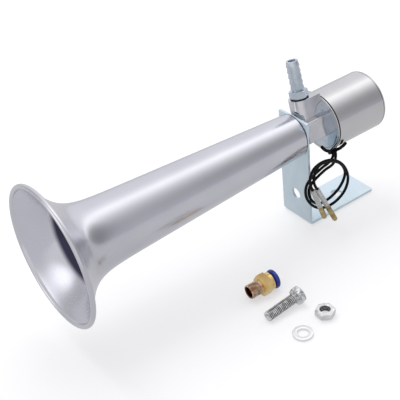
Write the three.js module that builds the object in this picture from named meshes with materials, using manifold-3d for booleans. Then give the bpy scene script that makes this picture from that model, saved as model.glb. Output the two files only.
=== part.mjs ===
// A chromed trumpet air horn with its solenoid valve, on an L-shaped foot bracket,
// with the loose fitting, bolt, nut and washer that lie beside it.
// Millimetres. +Z is up and the bell faces -X. The origin is the middle of the foot's underside.
import * as THREE from 'three';
import { mergeVertices } from 'three/addons/utils/BufferGeometryUtils.js';
import Module from 'manifold-3d';

const wasm = await Module();
wasm.setup();

// Clearances and counts that many pieces use
const cutOverrun = 1;
const slipFit = 0.15;
const turnedSides = 48;
const smallSides = 28;
const quarterTurn = Math.PI / 2;
const halfTurn = Math.PI;
const fullTurn = 2 * Math.PI;

// Bracket
const bracketWidth = 30.4;
const bracketThickness = 2;
const bracketTopAboveAxis = 15;
const footLength = 63.5;
const axisHeight = 73;
const bendInnerRadius = 1.2;
const bracketCornerRadius = 1.6;
const fixingHoleRadius = 4.25;
const plateHoleHeight = 21.4;
const footHoleFromPlate = 40;

// Trumpet, measured from the bracket's front face
const gasketThickness = 0.8;
const trumpetLength = 200.5;
const trumpetWall = 0.9;
const tubeEndRadius = 16;
const coneRadiusAtBell = 25.1;
const bellRadius = 50.3;
const flareDecay = 12.8;
const flarePower = 1.3;
const flareStart = 1.5;
const beadRadius = 1.7;
const beadFrom = THREE.MathUtils.degToRad(250);
const beadTo = THREE.MathUtils.degToRad(-45);
const beadSteps = 8;
const flareStationShares = [0.02, 0.04, 0.065, 0.095, 0.13, 0.18, 0.27, 0.5];

// Threaded bush in the tube's end, and the spigot that screws into it
const bushLength = 14;
const spigotLength = 9.3;
const spigotRadius = 7;
const spigotHoleClearance = 0.3;
const throatRadius = 4.5;
const throatStep = 1.6;
const throatFlareRadius = 9;

// Valve body, leaned about the horn's axis
const bodyLean = THREE.MathUtils.degToRad(13.9);
const collarRadius = 9.6;
const collarLength = 1.5;
const blockLength = 20.5;
const blockHalfWidth = 13.5;
const blockTop = 9.1;
const blockBottom = 6.3;
const blockCornerRadius = 0.8;
const bellyRadius = 11.5;
const bossHalfWidth = 8.3;
const bossFromPlate = 12;
const bossTop = 23.8;
const bossArcSteps = 9;
const inletRadius = 3.2;
const inletFloor = 11;
const inletPassageRadius = 2.4;
const inletPassageHeight = 13.5;

// Thread of the valve's inlet, which the hose barb and the loose fitting both have
const portThreadRadius = 5.15;

// Hose barb
const barbThreadLength = 7.6;
const barbWasherThickness = 0.6;
const barbWasherRadius = 6.6;
const barbHexFlats = 12;
const barbHexHeight = 5.4;
const barbCoreRadius = 4.2;
const barbRidgeRadius = 4.85;
const barbRidgeCount = 5;
const barbRidgePitch = 4.1;
const barbNeckLength = 1.4;
const barbBoreRadius = 2.7;
const hexChamfer = 0.5;

// Front disc and the chromed cup over the works
const discFromPlate = bracketThickness + collarLength + blockLength;
const discFaceRadius = 19.8;
const discFlangeRadius = 20.45;
const discLip = 1.9;
const discThickness = 3.5;
const cupRadius = 22;
const cupWall = 1;
const cupLipInnerRadius = 19.95;
const cupLipRound = 0.5;
const cupGrooveFrom = 1;
const cupGrooveTo = 1.6;
const cupGrooveDepth = 0.4;
const cupLength = 46.6;
const cupEndRound = 2.2;
const cupRoundSteps = 4;

// Sounding works inside the cup, one after another behind the disc
const nozzleRadius = 6;
const nozzleFlangeRadius = 8;
const nozzleFlangeThickness = 1;
const nozzleLipGap = 0.1;
const chamberDepth = 2.6;
const chamberRadius = 16.4;
const diaphragmThickness = 0.4;
const dividerThickness = 4;
const dividerReliefDepth = 1.2;
const dividerReliefRadius = 15;
const pilotRadius = 1.4;
const pilotSeatRadius = 2.8;
const pilotSeatHeight = 1;

// Solenoid
const sealThickness = 1.5;
const sealRadius = 3.6;
const plungerRadius = 7.1;
const plungerLength = 12.5;
const plungerPocketRadius = 4.1;
const plungerPocketDepth = 6;
const plungerTravel = 2.5;
const bobbinBoreRadius = 7.6;
const bobbinWall = 0.9;
const bobbinFlangeRadius = 16.6;
const bobbinFlangeThickness = 1.3;
const bobbinSetback = 0.6;
const windingRadius = 16.1;
const yokeInnerRadius = 17.2;
const yokeLength = 32;
const coreRadius = 7.1;
const coreFlangeThickness = 2.6;
const springRadius = 2.9;
const springWireRadius = 0.4;
const springTurns = 5;
const springStepsPerTurn = 8;
const springEndGap = 0.15;
const springWireSides = 5;

// Wires. Both leave the cup through a grommet in its wall, behind the lip, at this angle about the axis
const wireRadius = 1.05;
const wireSides = 8;
const wireSteps = 39;
const grommetFromLip = 4.75;
const grommetAngle = THREE.MathUtils.degToRad(245);
const grommetHalfWidth = 1.6;
const grommetHalfSpan = 1.35;
const grommetLipThickness = 0.8;
const grommetLipOverhang = 0.5;
const grommetArcSteps = 6;
const wireEndGap = 0.3;

// Sleeves and bullet terminals at the wires' far ends: where each starts and where its tip points
const sleeveARear = [-36.85, -24.76, 39.8];
const sleeveATip = [-27.9, -27, 11.6];
const sleeveBRear = [-32.5, -24.6, 38.5];
const sleeveBTip = [-18.4, -28, 5.2];

// Each wire's route, from the grommet round the loop to its sleeve
const wireARoute = [
  [-4.25, -9.83, 51.93], [-4.25, -10.3, 50.93], [-4.3, -10.8, 49.9], [-4.9, -11.7, 48.2], [-6.5, -12.6, 47.2],
  [-9, -13.7, 46.8], [-12, -15, 47], [-15.6, -16.4, 47.6], [-20, -17.8, 48.4], [-24.7, -19.2, 48.6],
  [-29.5, -20.4, 48.4], [-34.5, -20.4, 46.2], [-38, -20.4, 43], [-39.6, -20.4, 38.4],
  [-38.9, -20.4, 31.8], [-35.6, -20.4, 25], [-30, -20.4, 18.6], [-23, -20.9, 15.1], [-16, -21.6, 15],
  [-10, -22.4, 17.4], [-5.2, -23.2, 21.8], [-2.7, -24, 27.8], [-2.5, -24.7, 34.8], [-4.9, -25.2, 42.6],
  [-9.5, -25.6, 50], [-16, -25.7, 56], [-23.3, -25.6, 59.2], [-30.3, -25.4, 59.4], [-35.3, -25, 57],
  [-38.2, -24.7, 52], [-38.6, -24.5, 47], [-37.9, -24.5, 43.2], sleeveARear,
];
const wireBRoute = [
  [-1.75, -9.83, 51.93], [-1.75, -10.3, 50.93], [-1.8, -10.85, 49.8], [-2.3, -11.8, 47.9], [-3.8, -13.1, 46],
  [-6.3, -14.5, 44.7], [-9.8, -15.8, 44.2], [-13.8, -16.9, 44.6], [-18, -18, 45.2], [-22.4, -19.3, 45.4],
  [-26.5, -20.4, 45.3], [-31.6, -20.4, 43], [-35, -20.4, 40.3], [-36.5, -20.4, 36.6],
  [-36, -20.4, 31.4], [-33.4, -20.4, 25.8], [-29.2, -20.5, 21.7], [-24.4, -20.8, 20.2], [-19, -21.1, 20.9],
  [-13.6, -21.6, 23.1], [-8.6, -22, 26.6], [-5, -22.3, 31.4], [-3.4, -22.6, 37], [-5, -22.9, 43.2],
  [-9.5, -23.3, 49.5], [-15.5, -23.4, 53.8], [-22, -23.3, 56.2], [-28, -23.1, 56.1], [-31.8, -23.1, 53],
  [-33.8, -23.3, 48.4], [-34.4, -23.9, 44.6], [-33.75, -24.3, 41.4], sleeveBRear,
];

// Twist tie round both wires
const tieFrom = [-3, -10, 51.56];
const tieTo = [-3, -10.85, 49.75];
const tieHalfWidth = 2.6;
const tieHalfDepth = 1.45;
const tieThickness = 0.9;
const tieTailRadius = 1.2;
const tieTailSides = 6;
const tieTailSteps = 10;
const tieLeftTail = [
  [-6, -10.4, 50.7], [-7.2, -10.8, 51], [-9.5, -12.6, 54.3], [-12.8, -13.4, 57], [-15.2, -13.6, 59.5],
  [-17.1, -13.6, 62.2],
];
const tieRightTail = [
  [0, -10.6, 50.5], [1, -10.75, 50.6], [2, -12, 51.6], [1.7, -14, 53.9], [0.3, -16.5, 56.2],
  [-0.6, -18.9, 58.8], [-1.2, -21, 61.4],
];

// Sleeves and terminals, measured along each one's own axis
const sleeveRadius = 1.85;
const sleeveWall = 0.45;
const sleeveALength = 17.5;
const sleeveBLength = 18.4;
const sleeveEndRound = 0.5;
const terminalBarrelRadius = 1.4;
const terminalBarrelInside = 12;
const terminalShoulderRadius = 1.9;
const terminalShoulderLength = 2.2;
const terminalNeckRadius = 1.45;
const terminalNeckLength = 1;
const terminalBulletRadius = 1.95;
const bulletNoseShare = 0.4;

// Loose push-in fitting, measured along its own axis from its threaded end
const fittingPlace = [-117.4, -48.7];
const fittingTurn = THREE.MathUtils.degToRad(-2);
const fittingThreadLength = 8.4;
const fittingThreadPitch = 0.95;
const fittingThreadDepth = 0.5;
const fittingUndercut = 1.1;
const fittingUndercutRadius = 4.6;
const fittingHexFlats = 13.7;
const fittingHexLength = 6.4;
const fittingNoseRadius = 6.5;
const fittingNoseLength = 2.7;
const fittingBoreRadius = 3.8;
const fittingMouthChamfer = 0.5;
const fittingPassageRadius = 2.6;
const fittingSocketRadius = 5.3;
const fittingSocketFloor = 1.1;
const sealRingRadius = 0.75;
const sealRingSides = 8;
const colletThickness = 0.5;
const colletLength = 1.2;
const ringOuterRadius = 6.95;
const ringBoreRadius = 4.1;
const ringStemRadius = 5;
const ringStemLength = 3;
const ringCapLength = 3;
const ringStandoff = 1.2;
const ringRound = 0.7;

// Loose bolt, nut and washer
const boltPlace = [-121.6, -73.2];
const boltTurn = THREE.MathUtils.degToRad(1);
const boltRadius = 3.6;
const boltThreadPitch = 1.25;
const boltThreadDepth = 0.45;
const boltShankLength = 25;
const boltHeadFlats = 11.2;
const boltHeadHeight = 5;
const nutPlace = [-89.3, -94.5];
const nutTurn = THREE.MathUtils.degToRad(-3);
const nutFlats = 12.2;
const nutHeight = 5.3;
const nutBoreRadius = 3.4;
const nutChamfer = 0.9;
const washerPlace = [-112.4, -98.5];
const washerRadius = 6.9;
const washerBoreRadius = 3.9;
const washerThickness = 1.5;

// Finishes
const finish = (color, roughness, metalness) => {
  return new THREE.MeshStandardMaterial({ color, roughness, metalness });
};
const chrome = finish(0xc6c9d2, 0.1, 1);
const zinc = finish(0xb4c4cc, 0.35, 0.9);
const steel = finish(0x9aa0a6, 0.4, 0.9);
const brass = finish(0xc9a24a, 0.3, 1);
const copper = finish(0xb06a3a, 0.45, 0.9);
const rubber = finish(0x17171a, 0.8, 0);
const wireSkin = finish(0x101013, 0.45, 0);
const clearSleeve = finish(0xa9a49c, 0.3, 0);
const bluePlastic = finish(0x1f3a96, 0.35, 0);
const palePlastic = finish(0xd8d4c4, 0.6, 0);
const boltZinc = finish(0xc8cacc, 0.3, 0.9);
const springSteel = finish(0x8c9096, 0.35, 1);

// Groups: the horn's axis lies along X, and the valve leans about it
const model = new THREE.Group();
const hornAxis = new THREE.Group();
hornAxis.position.set(-footLength / 2, 0, axisHeight);
model.add(hornAxis);
const valve = new THREE.Group();
valve.rotation.x = -bodyLean;
hornAxis.add(valve);

function place(group, name, geometry, material) {
  const mesh = new THREE.Mesh(geometry, material);
  mesh.name = name;
  group.add(mesh);
  return mesh;
}

// Geometry helpers

function signedVolume(position, index) {
  const a = new THREE.Vector3();
  const b = new THREE.Vector3();
  const c = new THREE.Vector3();
  let volume = 0;
  for (let i = 0; i < index.length; i += 3) {
    a.fromBufferAttribute(position, index[i]);
    b.fromBufferAttribute(position, index[i + 1]);
    c.fromBufferAttribute(position, index[i + 2]);
    volume += a.dot(b.cross(c));
  }
  return volume;
}

// One closed mesh: shared corners merged, empty triangles dropped, faces turned outwards
function closed(geometry) {
  const bare = geometry.clone();
  bare.deleteAttribute('normal');
  bare.deleteAttribute('uv');
  const merged = mergeVertices(bare);
  const source = merged.index.array;
  const kept = [];
  for (let i = 0; i < source.length; i += 3) {
    const [a, b, c] = [source[i], source[i + 1], source[i + 2]];
    if (a !== b && b !== c && c !== a) kept.push([a, b, c]);
  }
  const inward = signedVolume(merged.attributes.position, kept.flat()) < 0;
  const turned = kept.map(([a, b, c]) => (inward ? [a, c, b] : [a, b, c]));
  const out = new THREE.BufferGeometry();
  out.setAttribute('position', merged.attributes.position);
  out.setIndex(turned.flat());
  out.computeVertexNormals();
  return out;
}

function solid(geometry) {
  const tidy = closed(geometry);
  const vertProperties = new Float32Array(tidy.attributes.position.array);
  const triVerts = new Uint32Array(tidy.index.array);
  return new wasm.Manifold(new wasm.Mesh({ numProp: 3, vertProperties, triVerts }));
}

function shell(body) {
  const mesh = body.getMesh();
  const out = new THREE.BufferGeometry();
  out.setAttribute('position', new THREE.BufferAttribute(new Float32Array(mesh.vertProperties), 3));
  out.setIndex(Array.from(mesh.triVerts));
  out.computeVertexNormals();
  return out;
}

const joined = (...pieces) => pieces.reduce((all, piece) => all.add(piece));
const without = (body, ...cuts) => cuts.reduce((left, cut) => left.subtract(cut), body);

// A turned piece about X from [along, radius] pairs
function turnedX(profile, sides = turnedSides) {
  const points = profile.map(([along, radius]) => new THREE.Vector2(radius, along));
  return new THREE.LatheGeometry(points, sides).rotateZ(-quarterTurn);
}

// A turned piece about Z from [height, radius] pairs
function turnedZ(profile, sides = smallSides) {
  const points = profile.map(([height, radius]) => new THREE.Vector2(radius, height));
  return new THREE.LatheGeometry(points, sides).rotateX(quarterTurn);
}

const discProfile = (from, to, radius) => [[from, 0], [from, radius], [to, radius], [to, 0]];
const ringProfile = (from, to, inner, outer) => {
  return [[from, inner], [from, outer], [to, outer], [to, inner], [from, inner]];
};
const rodX = (from, to, radius, sides) => turnedX(discProfile(from, to, radius), sides);
const rodZ = (from, to, radius, sides) => turnedZ(discProfile(from, to, radius), sides);

function arcPoints(centreX, centreY, radius, from, to, steps) {
  const points = [];
  for (let i = 0; i <= steps; i += 1) {
    const angle = from + (to - from) * (i / steps);
    points.push([centreX + radius * Math.cos(angle), centreY + radius * Math.sin(angle)]);
  }
  return points;
}

// An outline with a rounded corner of its own radius at each point
function roundedShape(corners, radii) {
  const shape = new THREE.Shape();
  const count = corners.length;
  corners.forEach(([x, y], i) => {
    const [px, py] = corners[(i + count - 1) % count];
    const [nx, ny] = corners[(i + 1) % count];
    const radius = radii[i];
    const back = Math.hypot(px - x, py - y);
    const ahead = Math.hypot(nx - x, ny - y);
    const startX = x + ((px - x) / back) * radius;
    const startY = y + ((py - y) / back) * radius;
    const endX = x + ((nx - x) / ahead) * radius;
    const endY = y + ((ny - y) / ahead) * radius;
    if (i === 0) shape.moveTo(startX, startY);
    else shape.lineTo(startX, startY);
    if (radius > 0) shape.quadraticCurveTo(x, y, endX, endY);
  });
  shape.closePath();
  return shape;
}

function extruded(shape, depth, curveSegments = 4) {
  return new THREE.ExtrudeGeometry(shape, { depth, bevelEnabled: false, curveSegments });
}

// A shape drawn in (Y, Z) and extruded from one X to another
function extrudedX(shape, from, to) {
  return extruded(shape, to - from).rotateZ(quarterTurn).rotateY(quarterTurn).translate(from, 0, 0);
}

// A hexagonal prism along Z with chamfered corners
function hexagonZ(flats, from, to, chamfer = hexChamfer) {
  const cornerRadius = flats / Math.sqrt(3);
  const prism = new THREE.CylinderGeometry(cornerRadius, cornerRadius, to - from, 6);
  prism.rotateX(quarterTurn).translate(0, 0, (from + to) / 2);
  const envelope = turnedZ([
    [from, 0], [from, cornerRadius - chamfer], [from + chamfer, cornerRadius + chamfer],
    [to - chamfer, cornerRadius + chamfer], [to, cornerRadius - chamfer], [to, 0],
  ]);
  return solid(prism).intersect(solid(envelope));
}

function smoothCurve(points) {
  const corners = points.map((point) => new THREE.Vector3(...point));
  return new THREE.CatmullRomCurve3(corners, false, 'centripetal');
}

// A tube along a smooth curve through points
function tubeAlong(points, radius, sides, steps) {
  const path = smoothCurve(points);
  const corners = arcPoints(0, 0, radius, 0, fullTurn * (1 - 1 / sides), sides - 1);
  const section = new THREE.Shape(corners.map(([x, y]) => new THREE.Vector2(x, y)));
  return closed(new THREE.ExtrudeGeometry(section, { steps, extrudePath: path, bevelEnabled: false }));
}

// Trumpet

// The outer radius and its slope, measured backwards from the middle of the rim's bead
const taper = (tubeEndRadius - coneRadiusAtBell) / (trumpetLength - beadRadius);
const flareRise = bellRadius - beadRadius - coneRadiusAtBell;
const flareFade = (fromBead) => Math.exp(-((fromBead / flareDecay) ** flarePower));
const outerRadius = (fromBead) => coneRadiusAtBell + taper * fromBead + flareRise * flareFade(fromBead);
const outerSlope = (fromBead) => {
  const growth = (flarePower / flareDecay) * (fromBead / flareDecay) ** (flarePower - 1);
  return taper - flareRise * growth * flareFade(fromBead);
};

function trumpetGeometry() {
  const rear = -gasketThickness;
  const bead = rear - trumpetLength + beadRadius;
  const stations = [flareStart, ...flareStationShares.map((share) => share * trumpetLength)];
  const outer = stations.map((fromBead) => [bead + fromBead, outerRadius(fromBead)]);
  const inner = stations.map((fromBead) => {
    const slope = outerSlope(fromBead);
    const across = trumpetWall / Math.hypot(slope, 1);
    return [bead + fromBead + slope * across, outerRadius(fromBead) - across];
  });
  const profile = [
    [rear, tubeEndRadius - trumpetWall],
    ...inner.toReversed(),
    ...arcPoints(bead, bellRadius - beadRadius, beadRadius, beadFrom, beadTo, beadSteps),
    ...outer,
    [rear, tubeEndRadius],
    [rear, tubeEndRadius - trumpetWall],
  ];
  return closed(turnedX(profile));
}

function bushGeometry() {
  const rear = -gasketThickness;
  const outer = tubeEndRadius - trumpetWall - slipFit;
  const socket = rear - spigotLength + gasketThickness - slipFit;
  return closed(turnedX([
    [rear, spigotRadius + slipFit],
    [socket, spigotRadius + slipFit],
    [socket, throatRadius],
    [socket - throatStep, throatRadius],
    [rear - bushLength, throatFlareRadius],
    [rear - bushLength, outer],
    [rear, outer],
    [rear, spigotRadius + slipFit],
  ], smallSides));
}

function trumpetGasketGeometry() {
  return closed(turnedX(ringProfile(
    -gasketThickness, 0, spigotRadius + spigotHoleClearance, tubeEndRadius - slipFit,
  )));
}

// Bracket: an L bent from strip, its ends rounded, with a hole for the spigot and two fixing holes

function bracketGeometry() {
  const half = bracketWidth / 2;
  const front = -footLength / 2;
  const far = footLength / 2;
  const top = axisHeight + bracketTopAboveAxis;
  const outerBend = bendInnerRadius + bracketThickness;
  const corners = [
    [front, 0], [far, 0], [far, bracketThickness], [front + bracketThickness, bracketThickness],
    [front + bracketThickness, top], [front, top],
  ];
  const sideView = roundedShape(corners, [outerBend, 0, 0, bendInnerRadius, 0, 0]);
  const strip = extruded(sideView, bracketWidth + 2 * cutOverrun).rotateX(quarterTurn);
  strip.translate(0, half + cutOverrun, 0);
  const frontView = roundedShape(
    [[-half, -cutOverrun], [half, -cutOverrun], [half, top], [-half, top]],
    [0, 0, bracketCornerRadius, bracketCornerRadius],
  );
  const frontPrism = extrudedX(frontView, front - cutOverrun, far + cutOverrun);
  const topView = roundedShape(
    [[front - cutOverrun, -half], [far, -half], [far, half], [front - cutOverrun, half]],
    [0, bracketCornerRadius, bracketCornerRadius, 0],
  );
  const topPrism = extruded(topView, top + 2 * cutOverrun).translate(0, 0, -cutOverrun);
  const plateCut = (radius, height) => {
    const rod = rodX(front - cutOverrun, front + bracketThickness + cutOverrun, radius, turnedSides / 2);
    return solid(rod.translate(0, 0, height));
  };
  const footCut = rodZ(-cutOverrun, bracketThickness + cutOverrun, fixingHoleRadius, turnedSides / 2);
  footCut.translate(front + footHoleFromPlate, 0, 0);
  const blank = solid(strip).intersect(solid(frontPrism)).intersect(solid(topPrism));
  return shell(without(
    blank,
    plateCut(spigotRadius + spigotHoleClearance, axisHeight),
    plateCut(fixingHoleRadius, plateHoleHeight),
    solid(footCut),
  ));
}

// Valve body: spigot, collar, block with a round belly, and the boss that takes the barb

function valveBodyGeometry() {
  const blockFront = bracketThickness + collarLength;
  const blockCorners = [
    [-blockHalfWidth, -blockBottom], [blockHalfWidth, -blockBottom],
    [blockHalfWidth, blockTop], [-blockHalfWidth, blockTop],
  ];
  const blockShape = roundedShape(blockCorners, blockCorners.map(() => blockCornerRadius));
  const block = extrudedX(blockShape, blockFront, discFromPlate);
  const belly = rodX(blockFront, discFromPlate, bellyRadius);
  const collar = rodX(bracketThickness, blockFront + cutOverrun, collarRadius);
  const spigot = rodX(-spigotLength, blockFront, spigotRadius);
  const bossShape = new THREE.Shape();
  bossShape.moveTo(discFromPlate, -bossHalfWidth);
  bossShape.lineTo(discFromPlate, bossHalfWidth);
  bossShape.lineTo(bossFromPlate, bossHalfWidth);
  bossShape.absarc(bossFromPlate, 0, bossHalfWidth, quarterTurn, 3 * quarterTurn, false);
  bossShape.closePath();
  const boss = extruded(bossShape, bossTop, bossArcSteps);
  const throat = rodX(-spigotLength - cutOverrun, discFromPlate + cutOverrun, throatRadius);
  const inlet = rodZ(inletFloor, bossTop + cutOverrun, inletRadius).translate(bossFromPlate, 0, 0);
  const threadPocket = rodZ(
    bossTop - barbThreadLength, bossTop + cutOverrun, portThreadRadius + slipFit,
  ).translate(bossFromPlate, 0, 0);
  const passage = rodX(bossFromPlate, discFromPlate + cutOverrun, inletPassageRadius, smallSides);
  passage.translate(0, 0, inletPassageHeight);
  const body = joined(solid(block), solid(belly), solid(collar), solid(spigot), solid(boss));
  return shell(without(body, solid(throat), solid(inlet), solid(threadPocket), solid(passage)));
}

function barbWasherGeometry() {
  return closed(turnedZ(ringProfile(
    bossTop, bossTop + barbWasherThickness, portThreadRadius + slipFit, barbWasherRadius,
  )).translate(bossFromPlate, 0, 0));
}

function barbGeometry() {
  const hexFrom = bossTop + barbWasherThickness;
  const hexTo = hexFrom + barbHexHeight;
  const profile = [
    [bossTop - barbThreadLength + slipFit, 0],
    [bossTop - barbThreadLength + slipFit, portThreadRadius],
    [hexFrom + barbNeckLength, portThreadRadius],
    [hexTo, barbCoreRadius],
    [hexTo + barbNeckLength, barbCoreRadius],
  ];
  const ridgeStart = hexTo + barbNeckLength;
  for (let i = 0; i < barbRidgeCount; i += 1) {
    profile.push([ridgeStart + i * barbRidgePitch, barbRidgeRadius]);
    profile.push([ridgeStart + (i + 1) * barbRidgePitch, barbCoreRadius]);
  }
  const tip = ridgeStart + barbRidgeCount * barbRidgePitch;
  profile.push([tip, 0]);
  const hex = hexagonZ(barbHexFlats, hexFrom, hexTo);
  const bore = rodZ(bossTop - barbThreadLength - cutOverrun, tip + cutOverrun, barbBoreRadius);
  const body = without(joined(solid(turnedZ(profile)), hex), solid(bore));
  return shell(body.translate([bossFromPlate, 0, 0]));
}

// Disc that closes the cup, with holes for the nozzle and the inlet

function frontDiscGeometry() {
  const front = discFromPlate;
  const back = front + discThickness;
  const blank = turnedX([
    [front, 0], [front, discFaceRadius], [front + discLip, discFaceRadius],
    [front + discLip, discFlangeRadius], [back, discFlangeRadius], [back, 0],
  ]);
  const nozzleHole = rodX(front - cutOverrun, back + cutOverrun, nozzleRadius + slipFit);
  const inletHole = rodX(front - cutOverrun, back + cutOverrun, inletPassageRadius, smallSides);
  inletHole.translate(0, 0, inletPassageHeight).rotateX(-bodyLean);
  return shell(without(solid(blank), solid(nozzleHole), solid(inletHole)));
}

// A slot-shaped prism that stands on the cup's wall, its long way along X, from one radius to another
function grommetPrism(from, to, halfWidth, halfSpan) {
  const shape = new THREE.Shape();
  shape.absarc(halfSpan, 0, halfWidth, -quarterTurn, quarterTurn, false);
  shape.absarc(-halfSpan, 0, halfWidth, quarterTurn, 3 * quarterTurn, false);
  shape.closePath();
  const prism = extruded(shape, to - from, grommetArcSteps).translate(0, 0, from);
  return prism.rotateX(grommetAngle - quarterTurn).translate(discFromPlate + grommetFromLip, 0, 0);
}

function grommetGeometry() {
  const lipFrom = cupRadius + slipFit;
  const stemTo = lipFrom + grommetLipThickness / 2;
  const stem = grommetPrism(
    cupRadius - cupWall, stemTo, grommetHalfWidth - slipFit, grommetHalfSpan - slipFit,
  );
  const lip = grommetPrism(
    lipFrom, lipFrom + grommetLipThickness, grommetHalfWidth + grommetLipOverhang, grommetHalfSpan,
  );
  return shell(joined(solid(stem), solid(lip)));
}

function cupGeometry() {
  const lipFront = discFromPlate;
  const end = lipFront + cupLength;
  const inner = cupRadius - cupWall;
  const lipBack = lipFront + discLip - slipFit;
  const lipMiddle = lipFront + cupLipRound;
  const cup = turnedX([
    [end, 0],
    ...arcPoints(end - cupEndRound, cupRadius - cupEndRound, cupEndRound, 0, quarterTurn, cupRoundSteps),
    [lipFront + cupGrooveTo, cupRadius],
    [lipFront + cupGrooveTo, cupRadius - cupGrooveDepth],
    [lipFront + cupGrooveFrom, cupRadius - cupGrooveDepth],
    ...arcPoints(lipMiddle, cupRadius - cupLipRound, cupLipRound, quarterTurn, halfTurn, cupRoundSteps),
    [lipFront, cupLipInnerRadius],
    [lipBack, cupLipInnerRadius],
    [lipBack, inner],
    [end - cupWall, inner],
    [end - cupWall, 0],
  ]);
  const wireHole = grommetPrism(
    cupRadius - 2 * cupWall, cupRadius + cutOverrun, grommetHalfWidth, grommetHalfSpan,
  );
  return shell(without(solid(cup), solid(wireHole)));
}

// Sounding works

const chamberFrom = discFromPlate + discThickness;
const diaphragmFrom = chamberFrom + chamberDepth;
const dividerFrom = diaphragmFrom + diaphragmThickness;
const dividerTo = dividerFrom + dividerThickness;

function nozzleGeometry() {
  const flangeTo = chamberFrom + nozzleFlangeThickness;
  return closed(turnedX([
    [discFromPlate + slipFit, throatRadius],
    [discFromPlate + slipFit, nozzleRadius],
    [chamberFrom, nozzleRadius],
    [chamberFrom, nozzleFlangeRadius],
    [flangeTo, nozzleFlangeRadius],
    [flangeTo, nozzleRadius],
    [diaphragmFrom - nozzleLipGap, nozzleRadius],
    [diaphragmFrom - nozzleLipGap, throatRadius],
    [discFromPlate + slipFit, throatRadius],
  ], smallSides));
}

function chamberRingGeometry() {
  const profile = ringProfile(chamberFrom, diaphragmFrom, chamberRadius, discFlangeRadius);
  return closed(turnedX(profile, smallSides));
}

const diaphragmGeometry = () => closed(rodX(diaphragmFrom, dividerFrom, discFlangeRadius, smallSides));

function dividerGeometry() {
  return closed(turnedX([
    [dividerFrom, dividerReliefRadius],
    [dividerFrom, discFlangeRadius],
    [dividerTo, discFlangeRadius],
    [dividerTo, pilotSeatRadius],
    [dividerTo + pilotSeatHeight, pilotSeatRadius],
    [dividerTo + pilotSeatHeight, pilotRadius],
    [dividerFrom + dividerReliefDepth, pilotRadius],
    [dividerFrom + dividerReliefDepth, dividerReliefRadius],
    [dividerFrom, dividerReliefRadius],
  ], smallSides));
}

// Solenoid

const sealFrom = dividerTo + pilotSeatHeight;
const plungerFrom = sealFrom + sealThickness;
const plungerTo = plungerFrom + plungerLength;
const coreFrom = plungerTo + plungerTravel + slipFit;
const yokeTo = dividerTo + yokeLength;

const sealGeometry = () => closed(rodX(sealFrom, plungerFrom, sealRadius, smallSides));

function plungerGeometry() {
  return closed(turnedX([
    [plungerFrom, 0],
    [plungerFrom, plungerRadius],
    [plungerTo, plungerRadius],
    [plungerTo, plungerPocketRadius],
    [plungerTo - plungerPocketDepth, plungerPocketRadius],
    [plungerTo - plungerPocketDepth, 0],
  ], smallSides));
}

function bobbinGeometry() {
  const from = dividerTo + bobbinSetback;
  const to = yokeTo - bobbinSetback;
  const wall = bobbinBoreRadius + bobbinWall;
  return closed(turnedX([
    [from, bobbinBoreRadius], [from, bobbinFlangeRadius], [from + bobbinFlangeThickness, bobbinFlangeRadius],
    [from + bobbinFlangeThickness, wall], [to - bobbinFlangeThickness, wall],
    [to - bobbinFlangeThickness, bobbinFlangeRadius], [to, bobbinFlangeRadius], [to, bobbinBoreRadius],
    [from, bobbinBoreRadius],
  ], smallSides));
}

function windingGeometry() {
  const from = dividerTo + bobbinSetback + bobbinFlangeThickness + slipFit;
  const to = yokeTo - bobbinSetback - bobbinFlangeThickness - slipFit;
  const inner = bobbinBoreRadius + bobbinWall + slipFit;
  return closed(turnedX(ringProfile(from, to, inner, windingRadius), smallSides));
}

function yokeGeometry() {
  return closed(turnedX(ringProfile(dividerTo, yokeTo, yokeInnerRadius, discFlangeRadius), smallSides));
}

function coreGeometry() {
  return closed(turnedX([
    [coreFrom, 0], [coreFrom, coreRadius], [yokeTo, coreRadius], [yokeTo, discFlangeRadius],
    [yokeTo + coreFlangeThickness, discFlangeRadius], [yokeTo + coreFlangeThickness, 0],
  ], smallSides));
}

function springGeometry() {
  const from = plungerTo - plungerPocketDepth + springWireRadius + springEndGap;
  const to = coreFrom - springWireRadius - springEndGap;
  const points = [];
  const steps = springTurns * springStepsPerTurn;
  for (let i = 0; i <= steps; i += 1) {
    const share = i / steps;
    const angle = fullTurn * springTurns * share;
    points.push([from + (to - from) * share, springRadius * Math.cos(angle), springRadius * Math.sin(angle)]);
  }
  return tubeAlong(points, springWireRadius, springWireSides, steps);
}

// Wires and what is on them

function ringOutline(halfWidth, halfDepth) {
  return roundedShape(
    [[-halfWidth, -halfDepth], [halfWidth, -halfDepth], [halfWidth, halfDepth], [-halfWidth, halfDepth]],
    [halfDepth, halfDepth, halfDepth, halfDepth],
  );
}

// Turns a body made along Z so that it starts at one point and runs towards another
function aimed(body, rear, tip) {
  const start = new THREE.Vector3(...rear);
  const direction = new THREE.Vector3(...tip).sub(start).normalize();
  const matrix = new THREE.Matrix4().makeRotationFromQuaternion(
    new THREE.Quaternion().setFromUnitVectors(new THREE.Vector3(0, 0, 1), direction),
  ).setPosition(start);
  return body.transform(matrix.elements);
}

function tieGeometry() {
  const outline = ringOutline(tieHalfWidth + tieThickness, tieHalfDepth + tieThickness);
  outline.holes.push(ringOutline(tieHalfWidth, tieHalfDepth));
  const height = new THREE.Vector3(...tieFrom).distanceTo(new THREE.Vector3(...tieTo));
  const band = aimed(solid(extruded(outline, height)), tieFrom, tieTo);
  const tails = [tieLeftTail, tieRightTail].map(
    (tail) => solid(tubeAlong(tail, tieTailRadius, tieTailSides, tieTailSteps)),
  );
  return shell(joined(band, ...tails));
}

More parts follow.
